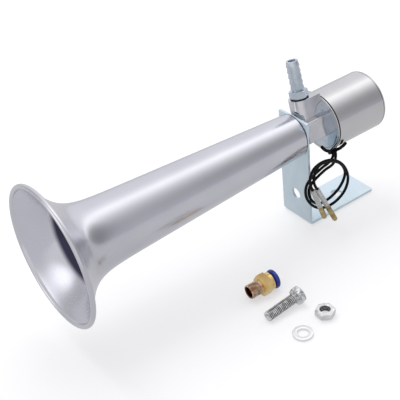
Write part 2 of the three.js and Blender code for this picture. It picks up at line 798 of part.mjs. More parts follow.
function sleeveGeometry(rear, tip, length) {
  const inner = sleeveRadius - sleeveWall;
  const tube = turnedZ([
    [wireEndGap, inner],
    [wireEndGap, sleeveRadius - sleeveEndRound],
    [wireEndGap + sleeveEndRound, sleeveRadius],
    [length - sleeveEndRound, sleeveRadius],
    [length, sleeveRadius - sleeveEndRound / 2],
    [length, inner],
    [wireEndGap, inner],
  ], smallSides / 2);
  return shell(aimed(solid(tube), rear, tip));
}

function terminalGeometry(rear, tip, sleeveLength) {
  const reach = new THREE.Vector3(...rear).distanceTo(new THREE.Vector3(...tip));
  const shoulderFrom = sleeveLength + slipFit;
  const shoulderTo = shoulderFrom + terminalShoulderLength;
  const bulletFrom = shoulderTo + terminalNeckLength;
  const noseFrom = reach - terminalBulletRadius * bulletNoseShare * 2;
  const pin = turnedZ([
    [sleeveLength - terminalBarrelInside, 0],
    [sleeveLength - terminalBarrelInside, terminalBarrelRadius],
    [shoulderFrom, terminalBarrelRadius],
    [shoulderFrom, terminalShoulderRadius],
    [shoulderTo, terminalShoulderRadius],
    [shoulderTo, terminalNeckRadius],
    [bulletFrom, terminalNeckRadius],
    [bulletFrom + terminalNeckLength / 2, terminalBulletRadius],
    [noseFrom, terminalBulletRadius],
    [reach - terminalNeckLength / 2, terminalBulletRadius * bulletNoseShare * 2],
    [reach, terminalBulletRadius * bulletNoseShare],
    [reach, 0],
  ], smallSides / 2);
  return shell(aimed(solid(pin), rear, tip));
}

// Loose pieces on the floor

// Saw-toothed screw thread as rings, from one height to another
function threadProfile(from, to, crest, depth, pitch) {
  const profile = [];
  const turns = Math.floor((to - from) / pitch);
  for (let i = 0; i < turns; i += 1) {
    profile.push([from + i * pitch, crest - depth]);
    profile.push([from + (i + 1 / 2) * pitch, crest]);
  }
  return profile;
}

const fittingHexFrom = fittingThreadLength + fittingUndercut;
const fittingHexTo = fittingHexFrom + fittingHexLength;
const fittingEnd = fittingHexTo + fittingNoseLength;
const fittingStep = fittingHexFrom + fittingSocketFloor;
const ringCapFrom = fittingEnd + ringStandoff;
const ringCapTo = ringCapFrom + ringCapLength;

function fittingBodyGeometry() {
  const barrel = turnedZ([
    [0, 0],
    ...threadProfile(0, fittingThreadLength, portThreadRadius, fittingThreadDepth, fittingThreadPitch),
    [fittingThreadLength, fittingUndercutRadius],
    [fittingHexFrom, fittingUndercutRadius],
    [fittingHexTo - hexChamfer, fittingNoseRadius],
    [fittingEnd, fittingNoseRadius],
    [fittingEnd, 0],
  ]);
  const hex = hexagonZ(fittingHexFlats, fittingHexFrom, fittingHexTo);
  const bore = turnedZ([
    [-cutOverrun, 0],
    [-cutOverrun, fittingBoreRadius + fittingMouthChamfer + cutOverrun],
    [fittingMouthChamfer, fittingBoreRadius],
    [fittingStep - fittingSocketFloor, fittingBoreRadius],
    [fittingStep - fittingSocketFloor, 0],
  ]);
  const passage = rodZ(fittingStep - 2 * fittingSocketFloor, fittingStep + cutOverrun, fittingPassageRadius);
  const socket = rodZ(fittingStep, fittingEnd + cutOverrun, fittingSocketRadius);
  return shell(without(joined(solid(barrel), hex), solid(bore), solid(passage), solid(socket)));
}

function sealRingGeometry() {
  const centre = fittingSocketRadius - sealRingRadius - slipFit;
  const height = fittingStep + sealRingRadius + slipFit;
  const loop = arcPoints(height, centre, sealRingRadius, 0, fullTurn, sealRingSides);
  return closed(turnedZ(loop, smallSides));
}

function colletGeometry() {
  const from = fittingStep + 2 * sealRingRadius + 2 * slipFit;
  const outer = fittingSocketRadius - slipFit;
  return closed(turnedZ([
    [from, outer - colletThickness],
    [from, outer],
    [from + colletThickness, outer],
    [from + colletLength + colletThickness, ringBoreRadius + colletThickness],
    [from + colletLength + colletThickness, ringBoreRadius],
    [from + colletLength, ringBoreRadius],
    [from, outer - colletThickness],
  ]));
}

function releaseRingGeometry() {
  const stemFrom = fittingEnd - ringStemLength;
  return closed(turnedZ([
    [stemFrom, ringBoreRadius],
    [stemFrom, ringStemRadius],
    [ringCapFrom, ringStemRadius],
    [ringCapFrom, ringOuterRadius - ringRound],
    [ringCapFrom + ringRound, ringOuterRadius],
    [ringCapTo - ringRound, ringOuterRadius],
    [ringCapTo, ringOuterRadius - ringRound],
    [ringCapTo, ringBoreRadius],
    [stemFrom, ringBoreRadius],
  ]));
}

function boltGeometry() {
  const chamfer = boltThreadDepth;
  const shank = turnedZ([
    [0, 0],
    [0, boltRadius - 2 * chamfer],
    ...threadProfile(chamfer, boltShankLength - chamfer, boltRadius, boltThreadDepth, boltThreadPitch),
    [boltShankLength - chamfer, boltRadius - boltThreadDepth],
    [boltShankLength + cutOverrun, boltRadius - boltThreadDepth],
    [boltShankLength + cutOverrun, 0],
  ], smallSides / 2);
  const head = hexagonZ(boltHeadFlats, boltShankLength, boltShankLength + boltHeadHeight);
  return shell(joined(solid(shank), head));
}

function nutGeometry() {
  const blank = hexagonZ(nutFlats, 0, nutHeight, nutChamfer);
  const bore = turnedZ([
    [-cutOverrun, 0],
    [-cutOverrun, nutBoreRadius + cutOverrun + hexChamfer],
    [hexChamfer, nutBoreRadius],
    [nutHeight - hexChamfer, nutBoreRadius],
    [nutHeight + cutOverrun, nutBoreRadius + cutOverrun + hexChamfer],
    [nutHeight + cutOverrun, 0],
  ]);
  return shell(blank.subtract(solid(bore)));
}

const washerGeometry = () => closed(turnedZ(ringProfile(0, washerThickness, washerBoreRadius, washerRadius)));

// A group whose Z axis lies along the floor, tipped so that both stated radii touch it
function lyingGroup([x, y], turn, rearRadius, rearAt, frontRadius, frontAt) {
  const tilt = Math.atan2(frontRadius - rearRadius, frontAt - rearAt);
  const group = new THREE.Group();
  group.position.set(x, y, rearRadius * Math.cos(tilt) - rearAt * Math.sin(tilt));
  group.rotation.order = 'ZYX';
  group.rotation.set(0, quarterTurn - tilt, turn);
  model.add(group);
  return group;
}

// The assembly

place(hornAxis, 'trumpet', trumpetGeometry(), chrome);
place(hornAxis, 'trumpet_bush', bushGeometry(), zinc);
place(hornAxis, 'trumpet_gasket', trumpetGasketGeometry(), rubber);
place(model, 'bracket', bracketGeometry(), zinc);
place(valve, 'valve_body', valveBodyGeometry(), chrome);
place(valve, 'barb_washer', barbWasherGeometry(), rubber);
place(valve, 'hose_barb', barbGeometry(), zinc);
place(hornAxis, 'front_disc', frontDiscGeometry(), zinc);
place(hornAxis, 'rear_cup', cupGeometry(), chrome);
place(hornAxis, 'nozzle', nozzleGeometry(), brass);
place(hornAxis, 'chamber_ring', chamberRingGeometry(), zinc);
place(hornAxis, 'diaphragm', diaphragmGeometry(), springSteel);
place(hornAxis, 'divider_plate', dividerGeometry(), steel);
place(hornAxis, 'coil_bobbin', bobbinGeometry(), palePlastic);
place(hornAxis, 'coil_winding', windingGeometry(), copper);
place(hornAxis, 'yoke_tube', yokeGeometry(), steel);
place(hornAxis, 'fixed_core', coreGeometry(), steel);
place(hornAxis, 'plunger', plungerGeometry(), steel);
place(hornAxis, 'plunger_seal', sealGeometry(), rubber);
place(hornAxis, 'return_spring', springGeometry(), springSteel);
place(hornAxis, 'wire_grommet', grommetGeometry(), rubber);
place(model, 'wire_a', tubeAlong(wireARoute, wireRadius, wireSides, wireSteps), wireSkin);
place(model, 'wire_b', tubeAlong(wireBRoute, wireRadius, wireSides, wireSteps), wireSkin);
place(model, 'twist_tie', tieGeometry(), wireSkin);
place(model, 'sleeve_a', sleeveGeometry(sleeveARear, sleeveATip, sleeveALength), clearSleeve);
place(model, 'sleeve_b', sleeveGeometry(sleeveBRear, sleeveBTip, sleeveBLength), clearSleeve);
place(model, 'terminal_a', terminalGeometry(sleeveARear, sleeveATip, sleeveALength), brass);
place(model, 'terminal_b', terminalGeometry(sleeveBRear, sleeveBTip, sleeveBLength), brass);

const fitting = lyingGroup(
  fittingPlace, fittingTurn, fittingHexFlats / 2, fittingHexFrom, ringOuterRadius, ringCapTo - ringRound,
);
place(fitting, 'fitting_body', fittingBodyGeometry(), brass);
place(fitting, 'fitting_seal_ring', sealRingGeometry(), rubber);
place(fitting, 'fitting_collet', colletGeometry(), springSteel);
place(fitting, 'release_ring', releaseRingGeometry(), bluePlastic);

const bolt = lyingGroup(
  boltPlace, boltTurn, boltRadius, boltThreadPitch, boltHeadFlats / 2, boltShankLength + hexChamfer,
);
place(bolt, 'bolt', boltGeometry(), boltZinc);
const nut = place(model, 'nut', nutGeometry(), boltZinc);
nut.position.set(nutPlace[0], nutPlace[1], 0);
nut.rotation.z = nutTurn;
place(model, 'washer', washerGeometry(), boltZinc).position.set(washerPlace[0], washerPlace[1], 0);

// The wires' least gap, between their skins, measured on points of their curves
function leastGap(first, second, skip) {
  let least = Infinity;
  first.forEach((a, i) => second.forEach((b, j) => {
    if (Math.abs(i - j) >= skip) least = Math.min(least, a.distanceTo(b));
  }));
  return least - 2 * wireRadius;
}

const samplesPerWire = 400;
const ownSkip = 30;
const curveA = smoothCurve(wireARoute).getSpacedPoints(samplesPerWire);
const curveB = smoothCurve(wireBRoute).getSpacedPoints(samplesPerWire);
console.log('least gap of wire_a to itself', leastGap(curveA, curveA, ownSkip).toFixed(2));
console.log('least gap of wire_b to itself', leastGap(curveB, curveB, ownSkip).toFixed(2));
console.log('least gap between the wires', leastGap(curveA, curveB, 0).toFixed(2));

export default model;
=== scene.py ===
# The finished look of the air horn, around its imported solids.
# The origin is the middle of the foot's underside, +Z is up and the bell faces -X.
# Lengths are written in millimetres and turned into metres by MM where a mesh, lamp or camera is made.
import math

import bmesh
import bpy
from mathutils import Matrix, Vector

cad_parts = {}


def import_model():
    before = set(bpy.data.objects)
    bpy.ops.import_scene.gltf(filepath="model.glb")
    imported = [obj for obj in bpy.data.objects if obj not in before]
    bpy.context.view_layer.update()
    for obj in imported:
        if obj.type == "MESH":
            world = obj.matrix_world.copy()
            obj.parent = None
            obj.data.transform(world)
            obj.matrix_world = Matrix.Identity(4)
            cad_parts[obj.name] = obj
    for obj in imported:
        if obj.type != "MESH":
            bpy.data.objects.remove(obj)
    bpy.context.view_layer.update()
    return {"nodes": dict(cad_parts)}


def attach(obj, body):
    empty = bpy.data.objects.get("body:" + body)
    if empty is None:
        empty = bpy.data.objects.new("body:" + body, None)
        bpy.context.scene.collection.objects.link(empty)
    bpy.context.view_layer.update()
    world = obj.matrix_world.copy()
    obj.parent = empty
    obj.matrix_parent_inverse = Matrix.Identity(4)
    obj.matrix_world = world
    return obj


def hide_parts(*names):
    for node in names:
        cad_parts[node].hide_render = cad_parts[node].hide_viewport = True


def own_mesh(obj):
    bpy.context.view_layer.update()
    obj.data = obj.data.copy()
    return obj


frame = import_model()
scene = bpy.context.scene
nodes = frame["nodes"]

MM = 0.001
QUARTER = math.pi / 2
HALF = math.pi
FULL = 2 * math.pi
SIXTH = FULL / 6


# How fine the meshes are

ROUND = 128
MEDIUM = 96
SMALL = 48
BELL_SEGMENTS = 192
CUP_SEGMENTS = 160
HEX_SEGMENTS = 144
FITTING_THREAD_SEGMENTS = 72
FITTING_THREAD_ROWS = 90
BOLT_THREAD_SEGMENTS = 64
BOLT_THREAD_ROWS = 170
NUT_THREAD_ROWS = 40
FLARE_STATIONS = 100
FLARE_CROWDING = 2.2
BEAD_STEPS = 32
CUP_END_STEPS = 10
CUP_LIP_STEPS = 8
CHAMFER_STEPS = 6
CORNER_STEPS = 3
ROUTE_STEPS = 8
WIRE_FINENESS = 5
TUBE_SIDES = 16
SPRING_SIDES = 12
FLOOR_SEGMENTS = 64


# Angles in degrees over which an edge stays sharp, a corner or edge is rounded, and faces stay apart

CRISP = 20
SHARP = 32
SOLID_SHARP = 35
SOFT_SHARP = 40
ROUNDED_CORNER = 20
ROUNDED_EDGE = 30
FLAT = 1


# Sizes, the main ones as in the solids

SLIP = 0.15
HEX_CHAMFER = 0.5

FOOT_LENGTH = 63.5
AXIS_HEIGHT = 73
BODY_LEAN = math.radians(13.9)
BARB_FROM_PLATE = 12

GASKET = 0.8
TRUMPET_LENGTH = 200.5
TRUMPET_WALL = 0.9
TUBE_END = 16.0
CONE_AT_BELL = 25.1
BELL = 50.3
FLARE_DECAY = 12.8
FLARE_POWER = 1.3
FLARE_START = 1.5
BEAD = 1.7
BEAD_FROM = math.radians(250)
BEAD_TO = math.radians(-45)
# Where the painted shade inside the bell's throat begins and where it is full, behind the bead
THROAT_PAINTED_SHADE_FROM = 15.5
THROAT_PAINTED_SHADE_TO = 19

DISC_AT = 24.0
DISC_LIP = 1.9
CUP_LENGTH = 46.6
CUP_RADIUS = 22.0
CUP_WALL = 1.0
CUP_LIP_INNER = 19.95
CUP_LIP_ROUND = 0.5
CUP_GROOVE_FROM = 1.0
CUP_GROOVE_TO = 1.6
CUP_GROOVE_DEPTH = 0.4
CUP_END_ROUND = 2.2
CUP_EDGE_LINE = 0.35

DISC_BEVEL = 0.15
VALVE_BEVEL = 0.55
BRACKET_BEVEL = 0.3
BEVEL_SHAPE = 0.5
CORNER_SHARE = 0.45
WELD_GAP = 0.01

PLUNGER_POCKET_AT = 43.5
CORE_AT = 52.15
SPRING_RADIUS = 2.9
SPRING_WIRE_RADIUS = 0.4
SPRING_TURNS = 5
SPRING_END_GAP = 0.15

PORT_THREAD = 5.15
BARB_FOOT = 23.8
BARB_THREAD_LENGTH = 7.6
BARB_WASHER = 0.6
BARB_HEX_FLATS = 12
BARB_HEX_HEIGHT = 5.4
BARB_CORE = 4.2
BARB_RIDGE = 4.85
BARB_RIDGES = 5
BARB_PITCH = 4.1
BARB_NECK = 1.4
BARB_BORE = 2.7
BARB_SOFTENING = 0.15

WIRE_RADIUS = 1.05
SLEEVE_RADIUS = 1.85
SLEEVE_WALL = 0.45
SLEEVE_A_LENGTH = 17.5
SLEEVE_B_LENGTH = 18.4
WIRE_END_GAP = 0.3
SLEEVE_ROUND = 0.5
BARREL_RADIUS = 1.4
BARREL_INSIDE = 12
CRIMP_RADIUS = 1.1
CRIMP_LENGTH = 5
SHOULDER_RADIUS = 1.9
SHOULDER_LENGTH = 2.2
NECK_RADIUS = 1.45
NECK_LENGTH = 1.0
BULLET_RADIUS = 1.95
BULLET_NOSE = 0.8
PIN_SOFTENING = 0.3

TIE_HALF_WIDTH = 2.6
TIE_HALF_DEPTH = 1.45
TIE_THICKNESS = 0.9
TIE_TAIL_RADIUS = 1.2

FITTING_PLACE = (-117.4, -48.7)
FITTING_TURN = math.radians(-2)
FITTING_THREAD_LENGTH = 8.4
FITTING_PITCH = 0.95
FITTING_THREAD_DEPTH = 0.5
FITTING_UNDERCUT = 1.1
FITTING_UNDERCUT_RADIUS = 4.6
FITTING_HEX_FLATS = 13.7
FITTING_HEX_LENGTH = 6.4
FITTING_NOSE_RADIUS = 6.5
FITTING_NOSE_LENGTH = 2.7
FITTING_BORE = 3.8
FITTING_MOUTH_CHAMFER = 0.5
FITTING_SOCKET = 5.3
FITTING_SOFTENING = 0.3
RING_OUTER = 6.95
RING_BORE = 4.1
RING_STEM = 5.0
RING_STEM_LENGTH = 3
RING_CAP_LENGTH = 3
RING_STANDOFF = 1.2
RING_ROUND = 0.7

BOLT_PLACE = (-121.6, -73.2)
BOLT_TURN = math.radians(1)
BOLT_RADIUS = 3.6
BOLT_PITCH = 1.25
BOLT_THREAD_DEPTH = 0.45
BOLT_SHANK_LENGTH = 25
BOLT_HEAD_FLATS = 11.2
BOLT_HEAD_HEIGHT = 5
NUT_PLACE = (-89.3, -94.5)
NUT_TURN = math.radians(-3)
NUT_FLATS = 12.2
NUT_HEIGHT = 5.3
NUT_BORE = 3.4
NUT_CHAMFER = 0.9
WASHER_PLACE = (-112.4, -98.5)
WASHER_RADIUS = 6.9
WASHER_BORE = 3.9
WASHER_THICKNESS = 1.5
WASHER_SOFTENING = 0.3
GROOVE_SHARE = 0.55


# Camera

CAMERA_PLACE = Vector((-418.284, -471.467, 462.736)) * MM
CAMERA_RIGHT = Vector((0.79933, -0.59330, -0.09527))
CAMERA_UP = Vector((0.41226, 0.42613, 0.80527))
CAMERA_LENS = 90.844
CAMERA_SENSOR = 36.0
CAMERA_NEAR = 10
CAMERA_FAR = 20000


def make_camera():
    camera = bpy.data.cameras.new("camera")
    camera.lens = CAMERA_LENS
    camera.sensor_width = CAMERA_SENSOR
    camera.clip_start = CAMERA_NEAR * MM
    camera.clip_end = CAMERA_FAR * MM
    holder = bpy.data.objects.new("camera", camera)
    scene.collection.objects.link(holder)
    right = CAMERA_RIGHT.normalized()
    back = right.cross(CAMERA_UP).normalized()
    up = back.cross(right)
    turn = Matrix((right, up, back)).transposed().to_4x4()
    holder.matrix_world = Matrix.Translation(CAMERA_PLACE) @ turn
    scene.camera = holder


make_camera()


# Materials

PATCH_DETAIL = 3
GLOSS_DETAIL = 4
GRAIN_DETAIL = 2
GLOSS_SHARE = 0.25
GLOSS_FROM = 0.3
GLOSS_TO = 0.7
EVEN = (1, 1, 1)
TURNED = (6, 1, 1)
ROLLED = (1, 1, 4)
WOUND = (8, 1, 1)
WHITE = (1, 1, 1, 1)
BEAD_AT = -FOOT_LENGTH / 2 - GASKET - TRUMPET_LENGTH + BEAD


def srgb(red, green, blue):
    """A colour as seen on a screen, 0 to 255, as linear light."""
    linear = []
    for value in (red, green, blue):
        share = value / 255
        linear.append(share / 12.92 if share <= 0.04045 else ((share + 0.055) / 1.055) ** 2.4)
    return (*linear, 1.0)


def feed(tree, socket, value):
    """Links an output into a socket, or sets the socket to a plain value."""
    if isinstance(value, bpy.types.NodeSocket):
        tree.links.new(value, socket)
    else:
        socket.default_value = value


def noise(tree, place, scale, detail, stretch=EVEN):
    """Noise in the piece's own frame, in grains per metre, drawn out by stretch."""
    mapping = tree.nodes.new("ShaderNodeMapping")
    mapping.inputs["Scale"].default_value = stretch
    tree.links.new(place, mapping.inputs["Vector"])
    made = tree.nodes.new("ShaderNodeTexNoise")
    made.inputs["Scale"].default_value = scale
    made.inputs["Detail"].default_value = detail
    tree.links.new(mapping.outputs["Vector"], made.inputs["Vector"])
    return made.outputs["Fac"]


def ranged(tree, value, start, end, low=0, high=1, soft=False):
    """Runs from low to high while the value runs from start to end, with eased ends where it is soft."""
    made = tree.nodes.new("ShaderNodeMapRange")
    if soft:
        made.interpolation_type = "SMOOTHSTEP"
    made.inputs["From Min"].default_value = start
    made.inputs["From Max"].default_value = end
    made.inputs["To Min"].default_value = low
    made.inputs["To Max"].default_value = high
    tree.links.new(value, made.inputs["Value"])
    return made.outputs["Result"]


def mixed(tree, share, first, second):
    """Two colours, each an output or a plain colour, mixed by a share."""
    made = tree.nodes.new("ShaderNodeMix")
    made.data_type = "RGBA"
    tree.links.new(share, made.inputs["Factor"])
    colours = [socket for socket in made.inputs if socket.type == "RGBA"]
    feed(tree, colours[0], first)
    feed(tree, colours[1], second)
    return next(socket for socket in made.outputs if socket.type == "RGBA")


def axes(tree, place):
    """The X, Y and Z of a place or direction, as outputs."""
    split = tree.nodes.new("ShaderNodeSeparateXYZ")
    tree.links.new(place, split.inputs["Vector"])
    return split.outputs


def finish(name, dark, light, rough, metal=0.0, patch=60, grain=900, bump=0.05, depth=0.02,
           stretch=EVEN, coat=0.0, clear=0.0, ior=1.45, spread=0.25, painted_shading=None):
    """A material whose colour drifts between two shades, with uneven gloss and a fine grain.
    Its last argument, where given, is painted shade: a darker colour that stands in for shadow, and the two
    places along X between which it takes over."""
    made = bpy.data.materials.new(name)
    made.use_nodes = True
    tree = made.node_tree
    shader = tree.nodes["Principled BSDF"]
    shader.inputs["Metallic"].default_value = metal
    shader.inputs["IOR"].default_value = ior
    shader.inputs["Coat Weight"].default_value = coat
    shader.inputs["Transmission Weight"].default_value = clear
    place = tree.nodes.new("ShaderNodeTexCoord").outputs["Object"]
    shades = tree.nodes.new("ShaderNodeValToRGB")
    shades.color_ramp.elements[0].position = 0.5 - spread
    shades.color_ramp.elements[0].color = dark
    shades.color_ramp.elements[1].position = 0.5 + spread
    shades.color_ramp.elements[1].color = light
    tree.links.new(noise(tree, place, patch, PATCH_DETAIL), shades.inputs["Fac"])
    colour = shades.outputs["Color"]
    if painted_shading:
        darker, start, end = painted_shading
        share = ranged(tree, axes(tree, place)["X"], start * MM, end * MM, soft=True)
        colour = mixed(tree, share, colour, darker)
    tree.links.new(colour, shader.inputs["Base Color"])
    unevenness = noise(tree, place, grain * GLOSS_SHARE, GLOSS_DETAIL, stretch)
    tree.links.new(ranged(tree, unevenness, GLOSS_FROM, GLOSS_TO, *rough), shader.inputs["Roughness"])
    grains = tree.nodes.new("ShaderNodeBump")
    grains.inputs["Strength"].default_value = bump
    grains.inputs["Distance"].default_value = depth * MM
    tree.links.new(noise(tree, place, grain, GRAIN_DETAIL, stretch), grains.inputs["Height"])
    tree.links.new(grains.outputs["Normal"], shader.inputs["Normal"])
    return made


polish_outer = finish("polish_outer", srgb(208, 208, 216), srgb(220, 220, 227), (0.2, 0.26), 1.0,
                      patch=18, grain=1400, bump=0.02, stretch=TURNED)
# The inner polish darkens towards the throat: painted shade where the throat lies in shadow
polish_inner = finish("polish_inner", srgb(206, 206, 217), srgb(218, 218, 228), (0.22, 0.28), 1.0,
                      patch=18, grain=1400, bump=0.015, stretch=TURNED,
                      painted_shading=(srgb(64, 64, 84), BEAD_AT + THROAT_PAINTED_SHADE_FROM, BEAD_AT + THROAT_PAINTED_SHADE_TO))
chrome_cup = finish("chrome_cup", srgb(204, 204, 206), srgb(216, 216, 218), (0.18, 0.24), 1.0,
                    patch=25, grain=1500, bump=0.02, stretch=TURNED)
# A dark material for painted shade lines on the cup
cup_painted_shade_line = finish("cup_painted_shade_line", srgb(58, 58, 62), srgb(84, 84, 88), (0.4, 0.5), 0.4,
                  patch=120, grain=1500, bump=0.1)
chrome_valve = finish("chrome_valve", srgb(200, 200, 205), srgb(216, 216, 221), (0.08, 0.14), 1.0,
                      patch=90, grain=1600, bump=0.04)
zinc_bracket = finish("zinc_bracket", srgb(212, 229, 240), srgb(224, 239, 248), (0.3, 0.38), 0.6,
                      patch=30, grain=1100, bump=0.02, stretch=ROLLED)
zinc_barb = finish("zinc_barb", srgb(186, 196, 207), srgb(214, 222, 231), (0.2, 0.3), 1.0,
                   patch=120, grain=1800, bump=0.05)
zinc_disc = finish("zinc_disc", srgb(185, 195, 206), srgb(210, 218, 226), (0.12, 0.2), 1.0,
                   patch=70, grain=1500, bump=0.04)
zinc_bright = finish("zinc_bright", srgb(206, 208, 210), srgb(238, 239, 240), (0.08, 0.16), 1.0,
                     patch=160, grain=1900, bump=0.06)
zinc_washer = finish("zinc_washer", srgb(248, 249, 250), srgb(255, 255, 255), (0.3, 0.4), 1.0,
                     patch=150, grain=2200, bump=0.06)
plain_steel = finish("plain_steel", srgb(140, 144, 150), srgb(170, 174, 178), (0.3, 0.45), 1.0,
                     patch=90, grain=1500, bump=0.1, stretch=TURNED)
spring_steel = finish("spring_steel", srgb(110, 112, 118), srgb(140, 143, 150), (0.25, 0.4), 1.0,
                      patch=200, grain=2500, bump=0.1)
brass_fitting = finish("brass_fitting", srgb(224, 172, 94), srgb(255, 236, 168), (0.14, 0.22), 0.6,
                       patch=140, grain=2000, bump=0.06, coat=0.2)
# A lighter brass for the thread: a painted highlight on its crests
brass_thread_painted_highlight = finish("brass_thread_painted_highlight", srgb(196, 140, 100), srgb(255, 238, 212), (0.16, 0.24), 0.5,
                      patch=420, grain=2200, bump=0.08, spread=0.12)
# Dark brasses painted into the thread's grooves and the bore as shade
brass_painted_groove_shade = finish("brass_painted_groove_shade", srgb(84, 50, 32), srgb(122, 78, 54), (0.35, 0.5), 0.6,
                      patch=200, grain=2200, bump=0.1)
brass_painted_bore_shade = finish("brass_painted_bore_shade", srgb(84, 34, 24), srgb(112, 52, 38), (0.3, 0.45), 0.8,
                    patch=200, grain=2200, bump=0.1)
# A dark zinc painted into thread roots and bores as shade
zinc_painted_groove_shade = finish("zinc_painted_groove_shade", srgb(30, 30, 32), srgb(92, 92, 95), (0.3, 0.45), 0.3,
                     patch=350, grain=2200, bump=0.1)
zinc_bolt = finish("zinc_bolt", srgb(176, 177, 180), srgb(252, 252, 252), (0.1, 0.2), 0.85,
                   patch=420, grain=2200, bump=0.08, spread=0.12)
zinc_nut = finish("zinc_nut", srgb(214, 215, 217), srgb(248, 248, 248), (0.1, 0.18), 0.7,
                  patch=260, grain=2200, bump=0.06)
brass_terminal = finish("brass_terminal", srgb(138, 116, 74), srgb(204, 184, 134), (0.12, 0.2), 1.0,
                        patch=200, grain=2500, bump=0.1)
copper_wire = finish("copper_wire", srgb(150, 84, 48), srgb(190, 112, 66), (0.3, 0.5), 0.9,
                     patch=200, grain=1200, bump=0.4, depth=0.1, stretch=WOUND)
black_rubber = finish("black_rubber", srgb(22, 22, 25), srgb(38, 38, 42), (0.6, 0.8), 0.0,
                      patch=200, grain=3000, bump=0.3)
black_wire = finish("black_wire", srgb(3, 3, 4), srgb(10, 10, 12), (0.5, 0.6), 0.0,
                    patch=120, grain=2500, bump=0.15, ior=1.25)
black_tie = finish("black_tie", srgb(3, 3, 4), srgb(12, 12, 14), (0.55, 0.7), 0.0,
                   patch=300, grain=3500, bump=0.3, ior=1.25)
clear_sleeve = finish("clear_sleeve", srgb(226, 225, 223), srgb(244, 243, 241), (0.24, 0.34), 0.0,
                      patch=200, grain=1500, bump=0.1, clear=0.3)
blue_plastic = finish("blue_plastic", srgb(22, 42, 132), srgb(40, 66, 170), (0.25, 0.36), 0.0,
                      patch=200, grain=2500, bump=0.08, coat=0.3)
pale_plastic = finish("pale_plastic", srgb(206, 202, 186), srgb(224, 221, 208), (0.5, 0.65), 0.0,
                      patch=120, grain=1800, bump=0.1)


# Mesh helpers

def keep(name, mesh, materials, sharp=SHARP):
    """An object from a mesh, smooth but for its sharp edges."""
    for material in materials if isinstance(materials, list) else [materials]:
        mesh.materials.append(material)
    mesh.shade_smooth()
    mesh.set_sharp_from_angle(angle=math.radians(sharp))
    made = bpy.data.objects.new(name, mesh)
    scene.collection.objects.link(made)
    return made


def to_mesh(name, shape, matrix):
    """A bmesh in millimetres as a mesh in metres, turned and placed."""
    bmesh.ops.recalc_face_normals(shape, faces=shape.faces)
    mesh = bpy.data.meshes.new(name)
    shape.to_mesh(mesh)
    shape.free()
    mesh.transform(Matrix.Scale(MM, 4) @ matrix)
    return mesh


def add_lathe(shape, profile, segments=ROUND, bend=None, paint=0):
    """Turns (along, radius) pairs about Z. bend(angle, along, radius) may change a radius."""
    rings = []
    for along, radius in profile:
        if radius == 0:
            rings.append([shape.verts.new((0, 0, along))])
            continue
        ring = []
        for i in range(segments):
            angle = FULL * i / segments
            reach = bend(angle, along, radius) if bend else radius
            ring.append(shape.verts.new((reach * math.cos(angle), reach * math.sin(angle), along)))
        rings.append(ring)
    if profile[0] == profile[-1]:
        for vert in rings[-1]:
            shape.verts.remove(vert)
        rings[-1] = rings[0]
    for near, far in zip(rings, rings[1:]):
        if len(near) == 1 and len(far) == 1:
            continue
        for i in range(segments):
            j = (i + 1) % segments
            if len(near) == 1:
                corners = (near[0], far[i], far[j])
            elif len(far) == 1:
                corners = (near[i], near[j], far[0])
            else:
                corners = (near[i], near[j], far[j], far[i])
            shape.faces.new(corners).material_index = paint


def lathe(name, profile, matrix, material, segments=ROUND, sharp=SHARP):
    shape = bmesh.new()
    add_lathe(shape, profile, segments)
    return keep(name, to_mesh(name, shape, matrix), material, sharp)


def softened(profile, radius):
    """A profile with its corners rounded, but not its two ends on the axis."""
    closed = profile[0] == profile[-1]
    points = [Vector(p) for p in (profile[:-1] if closed else profile)]
    count = len(points)
    out = []
    for i, point in enumerate(points):
        if not closed and i in (0, count - 1):
            out.append(tuple(point))
            continue
        before = points[i - 1] - point
        after = points[(i + 1) % count] - point
        if before.length == 0 or after.length == 0 or before.angle(-after) < math.radians(ROUNDED_CORNER):
            out.append(tuple(point))
            continue
        cut = min(radius, before.length * CORNER_SHARE, after.length * CORNER_SHARE)
        start = point + before.normalized() * cut
        end = point + after.normalized() * cut
        for k in range(CORNER_STEPS + 1):
            share = k / CORNER_STEPS
            bent = start * (1 - share) ** 2 + point * 2 * share * (1 - share) + end * share ** 2
            out.append(tuple(bent))
    if closed:
        out.append(out[0])
    return out


def ring_profile(low, high, inner, outer):
    return [(low, inner), (low, outer), (high, outer), (high, inner), (low, inner)]


def arc(centre_along, centre_radius, radius, start, end, steps):
    points = []
    for i in range(steps + 1):
        angle = start + (end - start) * i / steps
        points.append((centre_along + radius * math.cos(angle), centre_radius + radius * math.sin(angle)))
    return points


def hexagon(flats):
    """A radius rule that turns a round lathe into a hexagon whose corners the profile's own radius cuts."""
    def bend(angle, along, radius):
        across = (angle + SIXTH / 2) % SIXTH - SIXTH / 2
        return min(radius, flats / 2 / math.cos(across))
    return bend


def hexagon_profile(flats, low, high, inner=0.0, chamfer=HEX_CHAMFER):
    """A hexagonal prism's profile with turned chamfers at both ends."""
    corner = flats / math.sqrt(3)
    flat = corner - 2 * chamfer
    shares = [i / CHAMFER_STEPS for i in range(CHAMFER_STEPS + 1)]
    rise = [(low + chamfer * share, flat + (corner - flat) * share) for share in shares]
    fall = [(high - along + low, radius) for along, radius in reversed(rise)]
    profile = [*rise, *fall]
    if inner:
        return [(low, inner), *profile, (high, inner), (low, inner)]
    return [(low, 0), *profile, (high, 0)]


